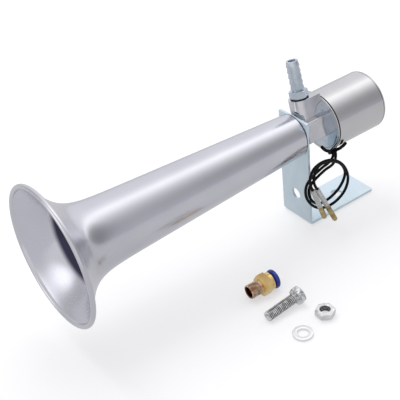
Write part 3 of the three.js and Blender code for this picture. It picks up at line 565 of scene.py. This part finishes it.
def bevelled(node, name, width, material):
    """A finer piece in a node's place: its flat faces merged and its edges rounded."""
    shape = bmesh.new()
    shape.from_mesh(nodes[node].data)
    bmesh.ops.remove_doubles(shape, verts=shape.verts, dist=WELD_GAP * MM)
    bmesh.ops.dissolve_limit(shape, angle_limit=math.radians(FLAT), verts=shape.verts, edges=shape.edges)
    least = math.radians(ROUNDED_EDGE)
    edges = [edge for edge in shape.edges if len(edge.link_faces) == 2 and edge.calc_face_angle() > least]
    bmesh.ops.bevel(shape, geom=edges, offset=width * MM, segments=CORNER_STEPS, profile=BEVEL_SHAPE,
                    affect="EDGES", clamp_overlap=True)
    bmesh.ops.recalc_face_normals(shape, faces=shape.faces)
    mesh = bpy.data.meshes.new(name)
    shape.to_mesh(mesh)
    shape.free()
    return keep(name, mesh, material, SOFT_SHARP)


def paint_within(shape, paint, radius, low, high):
    """Gives a material to the faces nearer to Z than a radius, between two heights."""
    for face in shape.faces:
        middle = face.calc_center_median()
        if low < middle.z < high and math.hypot(middle.x, middle.y) < radius:
            face.material_index = paint


def stand_for(piece, slot, body, *replaced):
    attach(piece, body)
    if replaced:
        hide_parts(*replaced)
    return piece


# Places

HORN = Vector((-FOOT_LENGTH / 2, 0, AXIS_HEIGHT))
ALONG_X = Matrix.Translation(HORN) @ Matrix.Rotation(QUARTER, 4, "Y")
VALVE = Matrix.Translation(HORN) @ Matrix.Rotation(-BODY_LEAN, 4, "X")
BARB = VALVE @ Matrix.Translation((BARB_FROM_PLATE, 0, 0))


def lying(place, turn, rear_radius, rear_at, front_radius, front_at):
    """A frame whose Z lies along the floor, tipped so that both radii touch it."""
    tilt = math.atan2(front_radius - rear_radius, front_at - rear_at)
    height = rear_radius * math.cos(tilt) - rear_at * math.sin(tilt)
    place = Matrix.Translation((*place, height))
    return place @ Matrix.Rotation(turn, 4, "Z") @ Matrix.Rotation(QUARTER - tilt, 4, "Y")


def aimed(rear, tip):
    """A frame that starts at one point and whose Z runs towards another."""
    direction = (Vector(tip) - Vector(rear)).normalized()
    return Matrix.Translation(rear) @ Vector((0, 0, 1)).rotation_difference(direction).to_matrix().to_4x4()


# Wires, first of the pieces because they are cords

SLEEVE_A_REAR = (-36.85, -24.76, 39.8)
SLEEVE_A_TIP = (-27.9, -27, 11.6)
SLEEVE_B_REAR = (-32.5, -24.6, 38.5)
SLEEVE_B_TIP = (-18.4, -28, 5.2)
WIRE_A_ROUTE = [
    (-4.25, -9.83, 51.93), (-4.25, -10.3, 50.93), (-4.3, -10.8, 49.9), (-4.9, -11.7, 48.2),
    (-6.5, -12.6, 47.2), (-9, -13.7, 46.8), (-12, -15, 47), (-15.6, -16.4, 47.6), (-20, -17.8, 48.4),
    (-24.7, -19.2, 48.6), (-29.5, -20.4, 48.4), (-34.5, -20.4, 46.2), (-38, -20.4, 43), (-39.6, -20.4, 38.4),
    (-38.9, -20.4, 31.8), (-35.6, -20.4, 25), (-30, -20.4, 18.6), (-23, -20.9, 15.1), (-16, -21.6, 15),
    (-10, -22.4, 17.4), (-5.2, -23.2, 21.8), (-2.7, -24, 27.8), (-2.5, -24.7, 34.8), (-4.9, -25.2, 42.6),
    (-9.5, -25.6, 50), (-16, -25.7, 56), (-23.3, -25.6, 59.2), (-30.3, -25.4, 59.4), (-35.3, -25, 57),
    (-38.2, -24.7, 52), (-38.6, -24.5, 47), (-37.9, -24.5, 43.2), SLEEVE_A_REAR,
]
WIRE_B_ROUTE = [
    (-1.75, -9.83, 51.93), (-1.75, -10.3, 50.93), (-1.8, -10.85, 49.8), (-2.3, -11.8, 47.9),
    (-3.8, -13.1, 46), (-6.3, -14.5, 44.7), (-9.8, -15.8, 44.2), (-13.8, -16.9, 44.6), (-18, -18, 45.2),
    (-22.4, -19.3, 45.4), (-26.5, -20.4, 45.3), (-31.6, -20.4, 43), (-35, -20.4, 40.3), (-36.5, -20.4, 36.6),
    (-36, -20.4, 31.4), (-33.4, -20.4, 25.8), (-29.2, -20.5, 21.7), (-24.4, -20.8, 20.2),
    (-19, -21.1, 20.9), (-13.6, -21.6, 23.1), (-8.6, -22, 26.6), (-5, -22.3, 31.4), (-3.4, -22.6, 37),
    (-5, -22.9, 43.2), (-9.5, -23.3, 49.5), (-15.5, -23.4, 53.8), (-22, -23.3, 56.2), (-28, -23.1, 56.1),
    (-31.8, -23.1, 53), (-33.8, -23.3, 48.4), (-34.4, -23.9, 44.6), (-33.75, -24.3, 41.4), SLEEVE_B_REAR,
]


def smooth_route(route):
    """The centripetal Catmull-Rom curve through a route, as points."""
    points = [Vector(p) for p in route]
    points = [2 * points[0] - points[1], *points, 2 * points[-1] - points[-2]]
    out = []
    for a, b, c, d in zip(points, points[1:], points[2:], points[3:]):
        ab, bc, cd = ((q - p).length ** 0.5 for p, q in ((a, b), (b, c), (c, d)))
        start = ((b - a) / ab - (c - a) / (ab + bc) + (c - b) / bc) * bc
        end = ((c - b) / bc - (d - b) / (bc + cd) + (d - c) / cd) * bc
        for i in range(ROUTE_STEPS):
            t = i / ROUTE_STEPS
            out.append(b * (2 * t ** 3 - 3 * t ** 2 + 1) + start * (t ** 3 - 2 * t ** 2 + t)
                       + c * (3 * t ** 2 - 2 * t ** 3) + end * (t ** 3 - t ** 2))
    out.append(points[-2])
    return out


def route_length(points):
    return sum((b - a).length for a, b in zip(points, points[1:]))


def wire(name, route):
    """A wire along a route, and its length in metres."""
    points = smooth_route(route)
    curve = bpy.data.curves.new(name, "CURVE")
    curve.dimensions = "3D"
    curve.bevel_depth = WIRE_RADIUS * MM
    curve.bevel_resolution = WIRE_FINENESS
    curve.use_fill_caps = True
    spline = curve.splines.new("POLY")
    spline.points.add(len(points) - 1)
    for spot, point in zip(spline.points, points):
        spot.co = (*(point * MM), 1)
    spline.use_smooth = True
    curve.materials.append(black_wire)
    made = bpy.data.objects.new(name, curve)
    scene.collection.objects.link(made)
    return made, route_length(points) * MM


def sleeve(name, rear, tip, length):
    wall = ring_profile(WIRE_END_GAP, length, SLEEVE_RADIUS - SLEEVE_WALL, SLEEVE_RADIUS)
    return lathe(name, softened(wall, SLEEVE_ROUND), aimed(rear, tip), clear_sleeve, SMALL)


def terminal(name, rear, tip, sleeve_length):
    reach = (Vector(tip) - Vector(rear)).length
    barrel_from = sleeve_length - BARREL_INSIDE
    crimp_to = barrel_from + CRIMP_LENGTH
    barrel = BARREL_RADIUS - SLIP
    shoulder_from = sleeve_length + SLIP
    shoulder_to = shoulder_from + SHOULDER_LENGTH
    bullet_from = shoulder_to + NECK_LENGTH
    nose = BULLET_RADIUS * BULLET_NOSE
    profile = softened([
        (barrel_from, 0), (barrel_from, CRIMP_RADIUS), (crimp_to, CRIMP_RADIUS),
        (crimp_to + PIN_SOFTENING, barrel), (shoulder_from, barrel), (shoulder_from, SHOULDER_RADIUS),
        (shoulder_to, SHOULDER_RADIUS), (shoulder_to, NECK_RADIUS), (bullet_from, NECK_RADIUS),
        (bullet_from + NECK_LENGTH / 2, BULLET_RADIUS), (reach - nose, BULLET_RADIUS),
        (reach - NECK_LENGTH / 2, nose), (reach, nose / 2), (reach, 0),
    ], PIN_SOFTENING)
    return lathe(name, profile, aimed(rear, tip), brass_terminal, SMALL)


wire_a, wire_a_length = wire("wire_a_lead", WIRE_A_ROUTE)
wire_b, wire_b_length = wire("wire_b_lead", WIRE_B_ROUTE)
sleeve_a = sleeve("sleeve_a_tube", SLEEVE_A_REAR, SLEEVE_A_TIP, SLEEVE_A_LENGTH)
sleeve_b = sleeve("sleeve_b_tube", SLEEVE_B_REAR, SLEEVE_B_TIP, SLEEVE_B_LENGTH)
terminal_a = terminal("terminal_a_pin", SLEEVE_A_REAR, SLEEVE_A_TIP, SLEEVE_A_LENGTH)
terminal_b = terminal("terminal_b_pin", SLEEVE_B_REAR, SLEEVE_B_TIP, SLEEVE_B_LENGTH)
stand_for(wire_a, "wire_skin", "horn", "wire_a")
stand_for(wire_b, "wire_skin", "horn", "wire_b")
stand_for(sleeve_a, "clear_sleeve", "horn", "sleeve_a")
stand_for(sleeve_b, "clear_sleeve", "horn", "sleeve_b")
stand_for(terminal_a, "brass_terminal", "horn", "terminal_a")
stand_for(terminal_b, "brass_terminal", "horn", "terminal_b")


# Twist tie: two turns round both wires, with two tails

TIE_FROM = Vector((-3, -10, 51.56))
TIE_TO = Vector((-3, -10.85, 49.75))
TIE_TAILS = [
    [(-6, -10.4, 50.7), (-7.2, -10.8, 51), (-9.5, -12.6, 54.3), (-12.8, -13.4, 57), (-15.2, -13.6, 59.5),
     (-17.1, -13.6, 62.2)],
    [(0, -10.6, 50.5), (1, -10.75, 50.6), (2, -12, 51.6), (1.7, -14, 53.9), (0.3, -16.5, 56.2),
     (-0.6, -18.9, 58.8), (-1.2, -21, 61.4)],
]
TIE_TURNS = 2


def add_tube(shape, points, radius, sides=TUBE_SIDES, closed=False):
    """A round tube along points, its section carried on from point to point without twist."""
    count = len(points)
    side = Vector((0, 0, 1))
    rings = []
    for i, point in enumerate(points):
        before = points[i - 1] if closed or i else points[0]
        after = points[(i + 1) % count] if closed or i < count - 1 else points[-1]
        along = (after - before).normalized()
        side = (side - along * side.dot(along)).normalized()
        across = along.cross(side)
        ring = []
        for k in range(sides):
            angle = FULL * k / sides
            ring.append(shape.verts.new(point + side * radius * math.cos(angle)
                                        + across * radius * math.sin(angle)))
        rings.append(ring)
    pairs = list(zip(rings, rings[1:]))
    if closed:
        pairs.append((rings[-1], rings[0]))
    for near, far in pairs:
        for i in range(sides):
            j = (i + 1) % sides
            shape.faces.new((near[i], near[j], far[j], far[i]))
    if not closed:
        shape.faces.new(rings[0])
        shape.faces.new(rings[-1])


def tie():
    shape = bmesh.new()
    height = (TIE_TO - TIE_FROM).length
    radius = height / TIE_TURNS / 2
    middle_width = TIE_HALF_WIDTH + TIE_THICKNESS - radius
    middle_depth = TIE_HALF_DEPTH + TIE_THICKNESS - radius
    place = aimed(TIE_FROM, TIE_TO)
    for turn in range(TIE_TURNS):
        level = height * (turn + 1 / 2) / TIE_TURNS
        loop = []
        for i in range(SMALL):
            angle = FULL * i / SMALL
            spot = (middle_width * math.cos(angle), middle_depth * math.sin(angle), level)
            loop.append(place @ Vector(spot))
        add_tube(shape, loop, radius, closed=True)
    for tail in TIE_TAILS:
        add_tube(shape, smooth_route(tail), TIE_TAIL_RADIUS)
    return keep("twist_tie_band", to_mesh("twist_tie_band", shape, Matrix()), black_tie, SOFT_SHARP)


twist_tie = stand_for(tie(), "tie_skin", "horn", "twist_tie")


# Trumpet: the tube and its flare, turned finer than the solid, with a rolled rim

FLARE_RISE = BELL - BEAD - CONE_AT_BELL
TAPER = (TUBE_END - CONE_AT_BELL) / (TRUMPET_LENGTH - BEAD)
FACING_INWARDS = -0.02


def flare_fade(back):
    return math.exp(-((back / FLARE_DECAY) ** FLARE_POWER))


def outer_radius(back):
    return CONE_AT_BELL + TAPER * back + FLARE_RISE * flare_fade(back)


def outer_slope(back):
    growth = FLARE_POWER / FLARE_DECAY * (back / FLARE_DECAY) ** (FLARE_POWER - 1)
    return TAPER - FLARE_RISE * growth * flare_fade(back)


def trumpet():
    rear = -GASKET
    bead = rear - TRUMPET_LENGTH + BEAD
    reach = TRUMPET_LENGTH - BEAD - FLARE_START
    backs = [FLARE_START + reach * (i / FLARE_STATIONS) ** FLARE_CROWDING for i in range(FLARE_STATIONS)]
    outer = [(bead + back, outer_radius(back)) for back in backs]
    inner = []
    for back in backs:
        slope = outer_slope(back)
        across = TRUMPET_WALL / math.hypot(slope, 1)
        inner.append((bead + back + slope * across, outer_radius(back) - across))
    profile = [
        (rear, TUBE_END - TRUMPET_WALL), *reversed(inner),
        *arc(bead, BELL - BEAD, BEAD, BEAD_FROM, BEAD_TO, BEAD_STEPS),
        *outer, (rear, TUBE_END), (rear, TUBE_END - TRUMPET_WALL),
    ]
    made = lathe("trumpet_horn", profile, ALONG_X, [polish_outer, polish_inner], BELL_SEGMENTS, SOFT_SHARP)
    # Faces that look towards the axis take the inner polish, with its painted shade in the throat
    for face in made.data.polygons:
        spot = face.center - HORN * MM
        outward = Vector((0, spot.y, spot.z)).normalized()
        if face.normal.dot(outward) < FACING_INWARDS and spot.x > (bead + BEAD / 2) * MM:
            face.material_index = 1
    return made


stand_for(trumpet(), "polished_trumpet", "horn", "trumpet")


# Rear cup, disc, valve body and bracket

def rear_cup():
    end = DISC_AT + CUP_LENGTH
    inner = CUP_RADIUS - CUP_WALL
    lip_back = DISC_AT + DISC_LIP - SLIP
    groove = CUP_RADIUS - CUP_GROOVE_DEPTH
    groove_from = DISC_AT + CUP_GROOVE_FROM
    groove_to = DISC_AT + CUP_GROOVE_TO
    rounding = end - CUP_END_ROUND
    profile = [
        (end, 0),
        *arc(rounding, CUP_RADIUS - CUP_END_ROUND, CUP_END_ROUND, 0, QUARTER, CUP_END_STEPS),
        (rounding - CUP_EDGE_LINE / 2, CUP_RADIUS - CUP_EDGE_LINE), (rounding - CUP_EDGE_LINE, CUP_RADIUS),
        (groove_to, CUP_RADIUS), (groove_to, groove), (groove_from, groove),
        *arc(DISC_AT + CUP_LIP_ROUND, CUP_RADIUS - CUP_LIP_ROUND, CUP_LIP_ROUND, QUARTER, HALF,
             CUP_LIP_STEPS),
        (DISC_AT, CUP_LIP_INNER), (lip_back, CUP_LIP_INNER), (lip_back, inner), (end - CUP_WALL, inner),
        (end - CUP_WALL, 0),
    ]
    shape = bmesh.new()
    add_lathe(shape, profile, CUP_SEGMENTS)
    # The groove behind the lip and a thin notch before the rounded end are painted dark: painted shade and
    # painted reflection lines
    paint_within(shape, 1, CUP_RADIUS - SLIP, groove_from - SLIP, groove_to + SLIP)
    paint_within(shape, 1, CUP_RADIUS - SLIP, rounding - 2 * CUP_EDGE_LINE, rounding)
    return keep("rear_cup_shell", to_mesh("rear_cup_shell", shape, ALONG_X), [chrome_cup, cup_painted_shade_line])


stand_for(rear_cup(), "chromed_cup", "horn", "rear_cup")

for node, name, width, material, slot in (
        ("front_disc", "front_disc_plate", DISC_BEVEL, zinc_disc, "zinc_disc"),
        ("valve_body", "valve_body_casting", VALVE_BEVEL, chrome_valve, "chromed_valve"),
        ("bracket", "bracket_plate", BRACKET_BEVEL, zinc_bracket, "zinc_bracket")):
    stand_for(bevelled(node, name, width, material), slot, "horn", node)


# Hose barb

def hose_barb():
    hex_from = BARB_FOOT + BARB_WASHER
    hex_to = hex_from + BARB_HEX_HEIGHT
    ridge_start = hex_to + BARB_NECK
    tip = ridge_start + BARB_RIDGES * BARB_PITCH
    shape = bmesh.new()
    add_lathe(shape, hexagon_profile(BARB_HEX_FLATS, hex_from, hex_to, BARB_BORE), HEX_SEGMENTS,
              hexagon(BARB_HEX_FLATS))
    ridges = [(hex_to - BARB_NECK, BARB_BORE), (hex_to - BARB_NECK, BARB_CORE), (ridge_start, BARB_CORE)]
    for i in range(BARB_RIDGES):
        low = ridge_start + i * BARB_PITCH
        ridges += [(low, BARB_RIDGE), (low + BARB_PITCH, BARB_CORE)]
    ridges += [(tip, BARB_BORE), (hex_to - BARB_NECK, BARB_BORE)]
    add_lathe(shape, softened(ridges, BARB_SOFTENING), MEDIUM)
    add_lathe(shape, ring_profile(BARB_FOOT - BARB_THREAD_LENGTH + SLIP, hex_from + BARB_NECK, BARB_BORE,
                                  PORT_THREAD), SMALL)
    return keep("hose_barb_turned", to_mesh("hose_barb_turned", shape, BARB), zinc_barb, CRISP)


stand_for(hose_barb(), "zinc_barb", "horn", "hose_barb")


# Return spring, a coil at one length between the plunger's pocket and the core

def return_spring():
    start = PLUNGER_POCKET_AT + SPRING_END_GAP + SPRING_WIRE_RADIUS
    end = CORE_AT - SPRING_END_GAP - SPRING_WIRE_RADIUS
    steps = SPRING_TURNS * SMALL
    coil = []
    for i in range(steps + 1):
        share = i / steps
        angle = QUARTER + FULL * SPRING_TURNS * share
        coil.append(Vector((SPRING_RADIUS * math.cos(angle), SPRING_RADIUS * math.sin(angle),
                            start + (end - start) * share)))
    shape = bmesh.new()
    add_tube(shape, coil, SPRING_WIRE_RADIUS, SPRING_SIDES)
    return keep("return_spring_coil", to_mesh("return_spring_coil", shape, ALONG_X), spring_steel,
                SOFT_SHARP)


spring = stand_for(return_spring(), "spring_steel", "horn", "return_spring")
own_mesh(spring)


# Loose fitting, bolt, nut and washer

def helix(crest, depth, pitch, low, high):
    """A radius rule that cuts a screw thread between two heights."""
    def bend(angle, along, radius):
        if not low <= along <= high or radius != crest:
            return radius
        fade = min(1, (along - low) / pitch, (high - along) / pitch)
        turn = (along / pitch - angle / FULL) % 1
        return crest - depth * fade * (1 - abs(2 * turn - 1)) - depth * (1 - fade) / 2
    return bend


def threaded_rows(low, high, radius, rows):
    return [(low + (high - low) * i / rows, radius) for i in range(rows + 1)]


HEX_FROM = FITTING_THREAD_LENGTH + FITTING_UNDERCUT
HEX_TO = HEX_FROM + FITTING_HEX_LENGTH
FITTING_END = HEX_TO + FITTING_NOSE_LENGTH
CAP_FROM = FITTING_END + RING_STANDOFF
CAP_TO = CAP_FROM + RING_CAP_LENGTH
FITTING = lying(FITTING_PLACE, FITTING_TURN, FITTING_HEX_FLATS / 2, HEX_FROM, RING_OUTER,
                CAP_TO - RING_ROUND)


def fitting_body():
    shape = bmesh.new()
    top = FITTING_THREAD_LENGTH
    barrel = [
        (FITTING_MOUTH_CHAMFER, FITTING_BORE), (0, FITTING_BORE + FITTING_MOUTH_CHAMFER),
        (0, PORT_THREAD - FITTING_THREAD_DEPTH), *threaded_rows(SLIP, top, PORT_THREAD, FITTING_THREAD_ROWS),
        (top + SLIP, FITTING_UNDERCUT_RADIUS), (HEX_FROM + SLIP, FITTING_UNDERCUT_RADIUS),
        (HEX_FROM + SLIP, FITTING_BORE), (FITTING_MOUTH_CHAMFER, FITTING_BORE),
    ]
    thread = helix(PORT_THREAD, FITTING_THREAD_DEPTH, FITTING_PITCH, SLIP, top)
    # The barrel takes the lighter brass as a painted highlight
    add_lathe(shape, barrel, FITTING_THREAD_SEGMENTS, thread, paint=1)
    # Painted shade: the thread's grooves and the bore take the dark brasses
    paint_within(shape, 2, PORT_THREAD - FITTING_THREAD_DEPTH * GROOVE_SHARE, 0, top)
    paint_within(shape, 3, FITTING_BORE + SLIP, 0, HEX_FROM)
    add_lathe(shape, hexagon_profile(FITTING_HEX_FLATS, HEX_FROM, HEX_TO, FITTING_BORE), HEX_SEGMENTS,
              hexagon(FITTING_HEX_FLATS))
    nose = ring_profile(HEX_TO - HEX_CHAMFER, FITTING_END, FITTING_SOCKET, FITTING_NOSE_RADIUS)
    add_lathe(shape, softened(nose, FITTING_SOFTENING), MEDIUM)
    mesh = to_mesh("fitting_body_turned", shape, FITTING)
    return keep("fitting_body_turned", mesh, [brass_fitting, brass_thread_painted_highlight, brass_painted_groove_shade, brass_painted_bore_shade], CRISP)


def release_ring():
    stem_from = FITTING_END - RING_STEM_LENGTH
    flat = RING_OUTER - RING_ROUND
    profile = [
        (stem_from, RING_BORE), (stem_from, RING_STEM), (CAP_FROM, RING_STEM), (CAP_FROM, flat),
        (CAP_FROM + RING_ROUND, RING_OUTER), (CAP_TO - RING_ROUND, RING_OUTER), (CAP_TO, flat),
        (CAP_TO, RING_BORE), (stem_from, RING_BORE),
    ]
    return lathe("release_ring_moulded", softened(profile, FITTING_SOFTENING), FITTING, blue_plastic, MEDIUM)


stand_for(fitting_body(), "brass_fitting", "fitting", "fitting_body")
stand_for(release_ring(), "blue_plastic", "release_ring", "release_ring")

BOLT = lying(BOLT_PLACE, BOLT_TURN, BOLT_RADIUS, BOLT_PITCH, BOLT_HEAD_FLATS / 2,
             BOLT_SHANK_LENGTH + HEX_CHAMFER)


def bolt():
    shape = bmesh.new()
    top = BOLT_SHANK_LENGTH - BOLT_PITCH
    root = BOLT_RADIUS - BOLT_THREAD_DEPTH
    sunk = BOLT_SHANK_LENGTH + HEX_CHAMFER
    shank = [
        (0, 0), (0, root - BOLT_THREAD_DEPTH), *threaded_rows(SLIP, top, BOLT_RADIUS, BOLT_THREAD_ROWS),
        (top + SLIP, root), (sunk, root), (sunk, 0),
    ]
    thread = helix(BOLT_RADIUS, BOLT_THREAD_DEPTH, BOLT_PITCH, SLIP, top)
    add_lathe(shape, shank, BOLT_THREAD_SEGMENTS, thread)
    # The thread's roots are painted dark: painted shade in the grooves
    paint_within(shape, 1, BOLT_RADIUS - BOLT_THREAD_DEPTH * GROOVE_SHARE, SLIP, top)
    head = hexagon_profile(BOLT_HEAD_FLATS, BOLT_SHANK_LENGTH, BOLT_SHANK_LENGTH + BOLT_HEAD_HEIGHT)
    add_lathe(shape, head, HEX_SEGMENTS, hexagon(BOLT_HEAD_FLATS))
    return keep("bolt_turned", to_mesh("bolt_turned", shape, BOLT), [zinc_bolt, zinc_painted_groove_shade], CRISP)


NUT = Matrix.Translation((*NUT_PLACE, 0)) @ Matrix.Rotation(NUT_TURN, 4, "Z")


def nut():
    shape = bmesh.new()
    mouth = NUT_BORE + HEX_CHAMFER
    low = HEX_CHAMFER
    high = NUT_HEIGHT - HEX_CHAMFER
    outer = hexagon_profile(NUT_FLATS, 0, NUT_HEIGHT, chamfer=NUT_CHAMFER)[1:-1]
    bore = threaded_rows(high, low, NUT_BORE, NUT_THREAD_ROWS)
    profile = [(0, mouth), *outer, (NUT_HEIGHT, mouth), *bore, (0, mouth)]
    hexed = hexagon(NUT_FLATS)
    threaded = helix(NUT_BORE, -BOLT_THREAD_DEPTH / 2, BOLT_PITCH, low, high)

    def bend(angle, along, radius):
        return threaded(angle, along, radius) if radius <= mouth else hexed(angle, along, radius)

    add_lathe(shape, profile, HEX_SEGMENTS, bend)
    # The threaded bore is painted dark: painted shade inside the hole
    paint_within(shape, 1, NUT_BORE + SLIP, low, high)
    return keep("nut_turned", to_mesh("nut_turned", shape, NUT), [zinc_nut, zinc_painted_groove_shade], CRISP)


def washer():
    profile = softened(ring_profile(0, WASHER_THICKNESS, WASHER_BORE, WASHER_RADIUS), WASHER_SOFTENING)
    return lathe("washer_stamped", profile, Matrix.Translation((*WASHER_PLACE, 0)), zinc_washer, MEDIUM)


stand_for(bolt(), "zinc_fixings", "bolt", "bolt")
stand_for(nut(), "zinc_fixings", "nut", "nut")
stand_for(washer(), "zinc_washer", "washer", "washer")


# Solids that stay as they are, with their materials

STAYING = {
    "trumpet_bush": zinc_bright,
    "trumpet_gasket": black_rubber,
    "barb_washer": black_rubber,
    "nozzle": brass_fitting,
    "chamber_ring": plain_steel,
    "diaphragm": spring_steel,
    "divider_plate": plain_steel,
    "coil_bobbin": pale_plastic,
    "coil_winding": copper_wire,
    "yoke_tube": plain_steel,
    "fixed_core": plain_steel,
    "plunger": plain_steel,
    "plunger_seal": black_rubber,
    "wire_grommet": black_rubber,
    "fitting_seal_ring": black_rubber,
    "fitting_collet": spring_steel,
}
for node, material in STAYING.items():
    mesh = nodes[node].data
    mesh.materials.clear()
    mesh.materials.append(material)
    mesh.shade_smooth()
    mesh.set_sharp_from_angle(angle=math.radians(SOLID_SHARP))


# Floor, world and lamp

FLOOR_RADIUS = 3000
FLOOR_DROP = 0.3
FLOOR_COLOUR = (0.95, 0.95, 0.95, 1)
FLOOR_ROUGHNESS = 0.9
FLOOR_GLOSS = 0.1
FLOOR_GLOW = 0.5
FLOOR_GLOW_MIRRORED = 0.85
FLOOR_MIRRORED = 0.6
FLOOR_TINT = (1.0, 1.0, 1.02, 1)

ROOM_STRENGTH = 1.5
ROOM_STOPS = [
    (0.0, (0.56, 0.56, 0.59)), (0.08, (0.59, 0.59, 0.61)), (0.27, (0.63, 0.63, 0.65)),
    (0.36, (0.76, 0.76, 0.77)), (0.43, (1, 1, 1)), (0.49, (0.9, 0.9, 0.9)), (0.6, (0.56, 0.56, 0.57)),
    (0.7, (0.42, 0.42, 0.43)), (0.8, (0.38, 0.38, 0.39)), (1.0, (0.37, 0.37, 0.4)),
]
FRONT_FROM = 0.15
FRONT_TO = -0.5
FRONT_BEHIND = 0.36
FRONT_BEFORE = 0.56
GLOW_TOWARDS = (-0.88, 0.26, 0.4)
GLOW_STRENGTH = 0.95
GLOW_EDGE = 0.9
SHADE_TOWARDS = (0.83, -0.47, 0.3)
SHADE_STRENGTH = 0.82
SHADE_EDGE = 0.84

LAMP_PLACE = Vector((-100, 550, 1000)) * MM
LAMP_TARGET = Vector((-80, 0, 50)) * MM
LAMP_SIZE = 700
LAMP_POWER = 5


def floor():
    """A pale floor that keeps the shadow, and shows as white to the camera and pale in the metal."""
    shape = bmesh.new()
    bmesh.ops.create_circle(shape, cap_ends=True, segments=FLOOR_SEGMENTS, radius=FLOOR_RADIUS)
    mesh = to_mesh("floor", shape, Matrix.Translation((0, 0, -FLOOR_DROP)))
    material = bpy.data.materials.new("floor_white")
    material.use_nodes = True
    tree = material.node_tree
    shader = tree.nodes["Principled BSDF"]
    shader.inputs["Base Color"].default_value = FLOOR_COLOUR
    shader.inputs["Roughness"].default_value = FLOOR_ROUGHNESS
    shader.inputs["Specular IOR Level"].default_value = FLOOR_GLOSS
    rays = tree.nodes.new("ShaderNodeLightPath")
    seen = rays.outputs["Is Camera Ray"]
    mirrored = rays.outputs["Is Glossy Ray"]
    strength = tree.nodes.new("ShaderNodeMath")
    strength.operation = "MULTIPLY_ADD"
    strength.inputs[1].default_value = FLOOR_MIRRORED
    tree.links.new(mirrored, strength.inputs[0])
    tree.links.new(seen, strength.inputs[2])
    glow = tree.nodes.new("ShaderNodeEmission")
    glow.inputs["Color"].default_value = FLOOR_TINT
    tree.links.new(strength.outputs["Value"], glow.inputs["Strength"])
    both = tree.nodes.new("ShaderNodeMixShader")
    tree.links.new(ranged(tree, mirrored, 0, 1, FLOOR_GLOW, FLOOR_GLOW_MIRRORED), both.inputs["Fac"])
    tree.links.new(shader.outputs["BSDF"], both.inputs[1])
    tree.links.new(glow.outputs["Emission"], both.inputs[2])
    tree.links.new(both.outputs["Shader"], tree.nodes["Material Output"].inputs["Surface"])
    keep("floor", mesh, material)


def towards(tree, place, direction, edge, away, near):
    """A value that changes softly from away to near where the world faces a direction."""
    facing = tree.nodes.new("ShaderNodeVectorMath")
    facing.operation = "DOT_PRODUCT"
    facing.inputs[1].default_value = direction
    tree.links.new(place, facing.inputs[0])
    return ranged(tree, facing.outputs["Value"], edge, 1, away, near, soft=True)


def room_colour(tree, place):
    """Greys about X, from behind the horn over the top to the viewer's side, and plainer past the bell."""
    sides = axes(tree, place)
    turn = tree.nodes.new("ShaderNodeMath")
    turn.operation = "ARCTAN2"
    tree.links.new(sides["Z"], turn.inputs[0])
    tree.links.new(sides["Y"], turn.inputs[1])
    level = ranged(tree, turn.outputs["Value"], 0, HALF)
    ramp = tree.nodes.new("ShaderNodeValToRGB")
    elements = ramp.color_ramp.elements
    for position, colour in ROOM_STOPS[1:-1]:
        elements.new(position).color = (*colour, 1)
    elements[0].color = (*ROOM_STOPS[0][1], 1)
    elements[-1].color = (*ROOM_STOPS[-1][1], 1)
    tree.links.new(level, ramp.inputs["Fac"])
    front = ranged(tree, sides["X"], FRONT_FROM, FRONT_TO, soft=True)
    plain = ranged(tree, level, 0, 1, FRONT_BEHIND, FRONT_BEFORE)
    return mixed(tree, front, ramp.outputs["Color"], plain)


def background(tree, colour, strength):
    made = tree.nodes.new("ShaderNodeBackground")
    feed(tree, made.inputs["Color"], colour)
    feed(tree, made.inputs["Strength"], strength)
    return made.outputs["Background"]


def world():
    """A room that lights the horn and is mirrored in it, with plain white where the camera looks past."""
    made = bpy.data.worlds.new("studio")
    scene.world = made
    made.use_nodes = True
    tree = made.node_tree
    tree.nodes.clear()
    place = tree.nodes.new("ShaderNodeTexCoord").outputs["Generated"]
    shaded = towards(tree, place, SHADE_TOWARDS, SHADE_EDGE, ROOM_STRENGTH, SHADE_STRENGTH)
    glow = towards(tree, place, GLOW_TOWARDS, GLOW_EDGE, 0, GLOW_STRENGTH)
    lit = tree.nodes.new("ShaderNodeAddShader")
    tree.links.new(background(tree, room_colour(tree, place), shaded), lit.inputs[0])
    tree.links.new(background(tree, WHITE, glow), lit.inputs[1])
    rays = tree.nodes.new("ShaderNodeLightPath")
    both = tree.nodes.new("ShaderNodeMixShader")
    tree.links.new(rays.outputs["Is Camera Ray"], both.inputs["Fac"])
    tree.links.new(lit.outputs["Shader"], both.inputs[1])
    tree.links.new(background(tree, WHITE, 1), both.inputs[2])
    out = tree.nodes.new("ShaderNodeOutputWorld")
    tree.links.new(both.outputs["Shader"], out.inputs["Surface"])


def softbox(name, place, target, size, power):
    lamp = bpy.data.lights.new(name, "AREA")
    lamp.shape = "RECTANGLE"
    lamp.size = size * MM
    lamp.size_y = size * MM
    lamp.energy = power
    holder = bpy.data.objects.new(name, lamp)
    scene.collection.objects.link(holder)
    turn = (target - place).normalized().to_track_quat("-Z", "Y").to_matrix().to_4x4()
    holder.matrix_world = Matrix.Translation(place) @ turn
    holder.visible_glossy = False


floor()
world()
softbox("overhead_box", LAMP_PLACE, LAMP_TARGET, LAMP_SIZE, LAMP_POWER)

scene.view_settings.view_transform = "Standard"
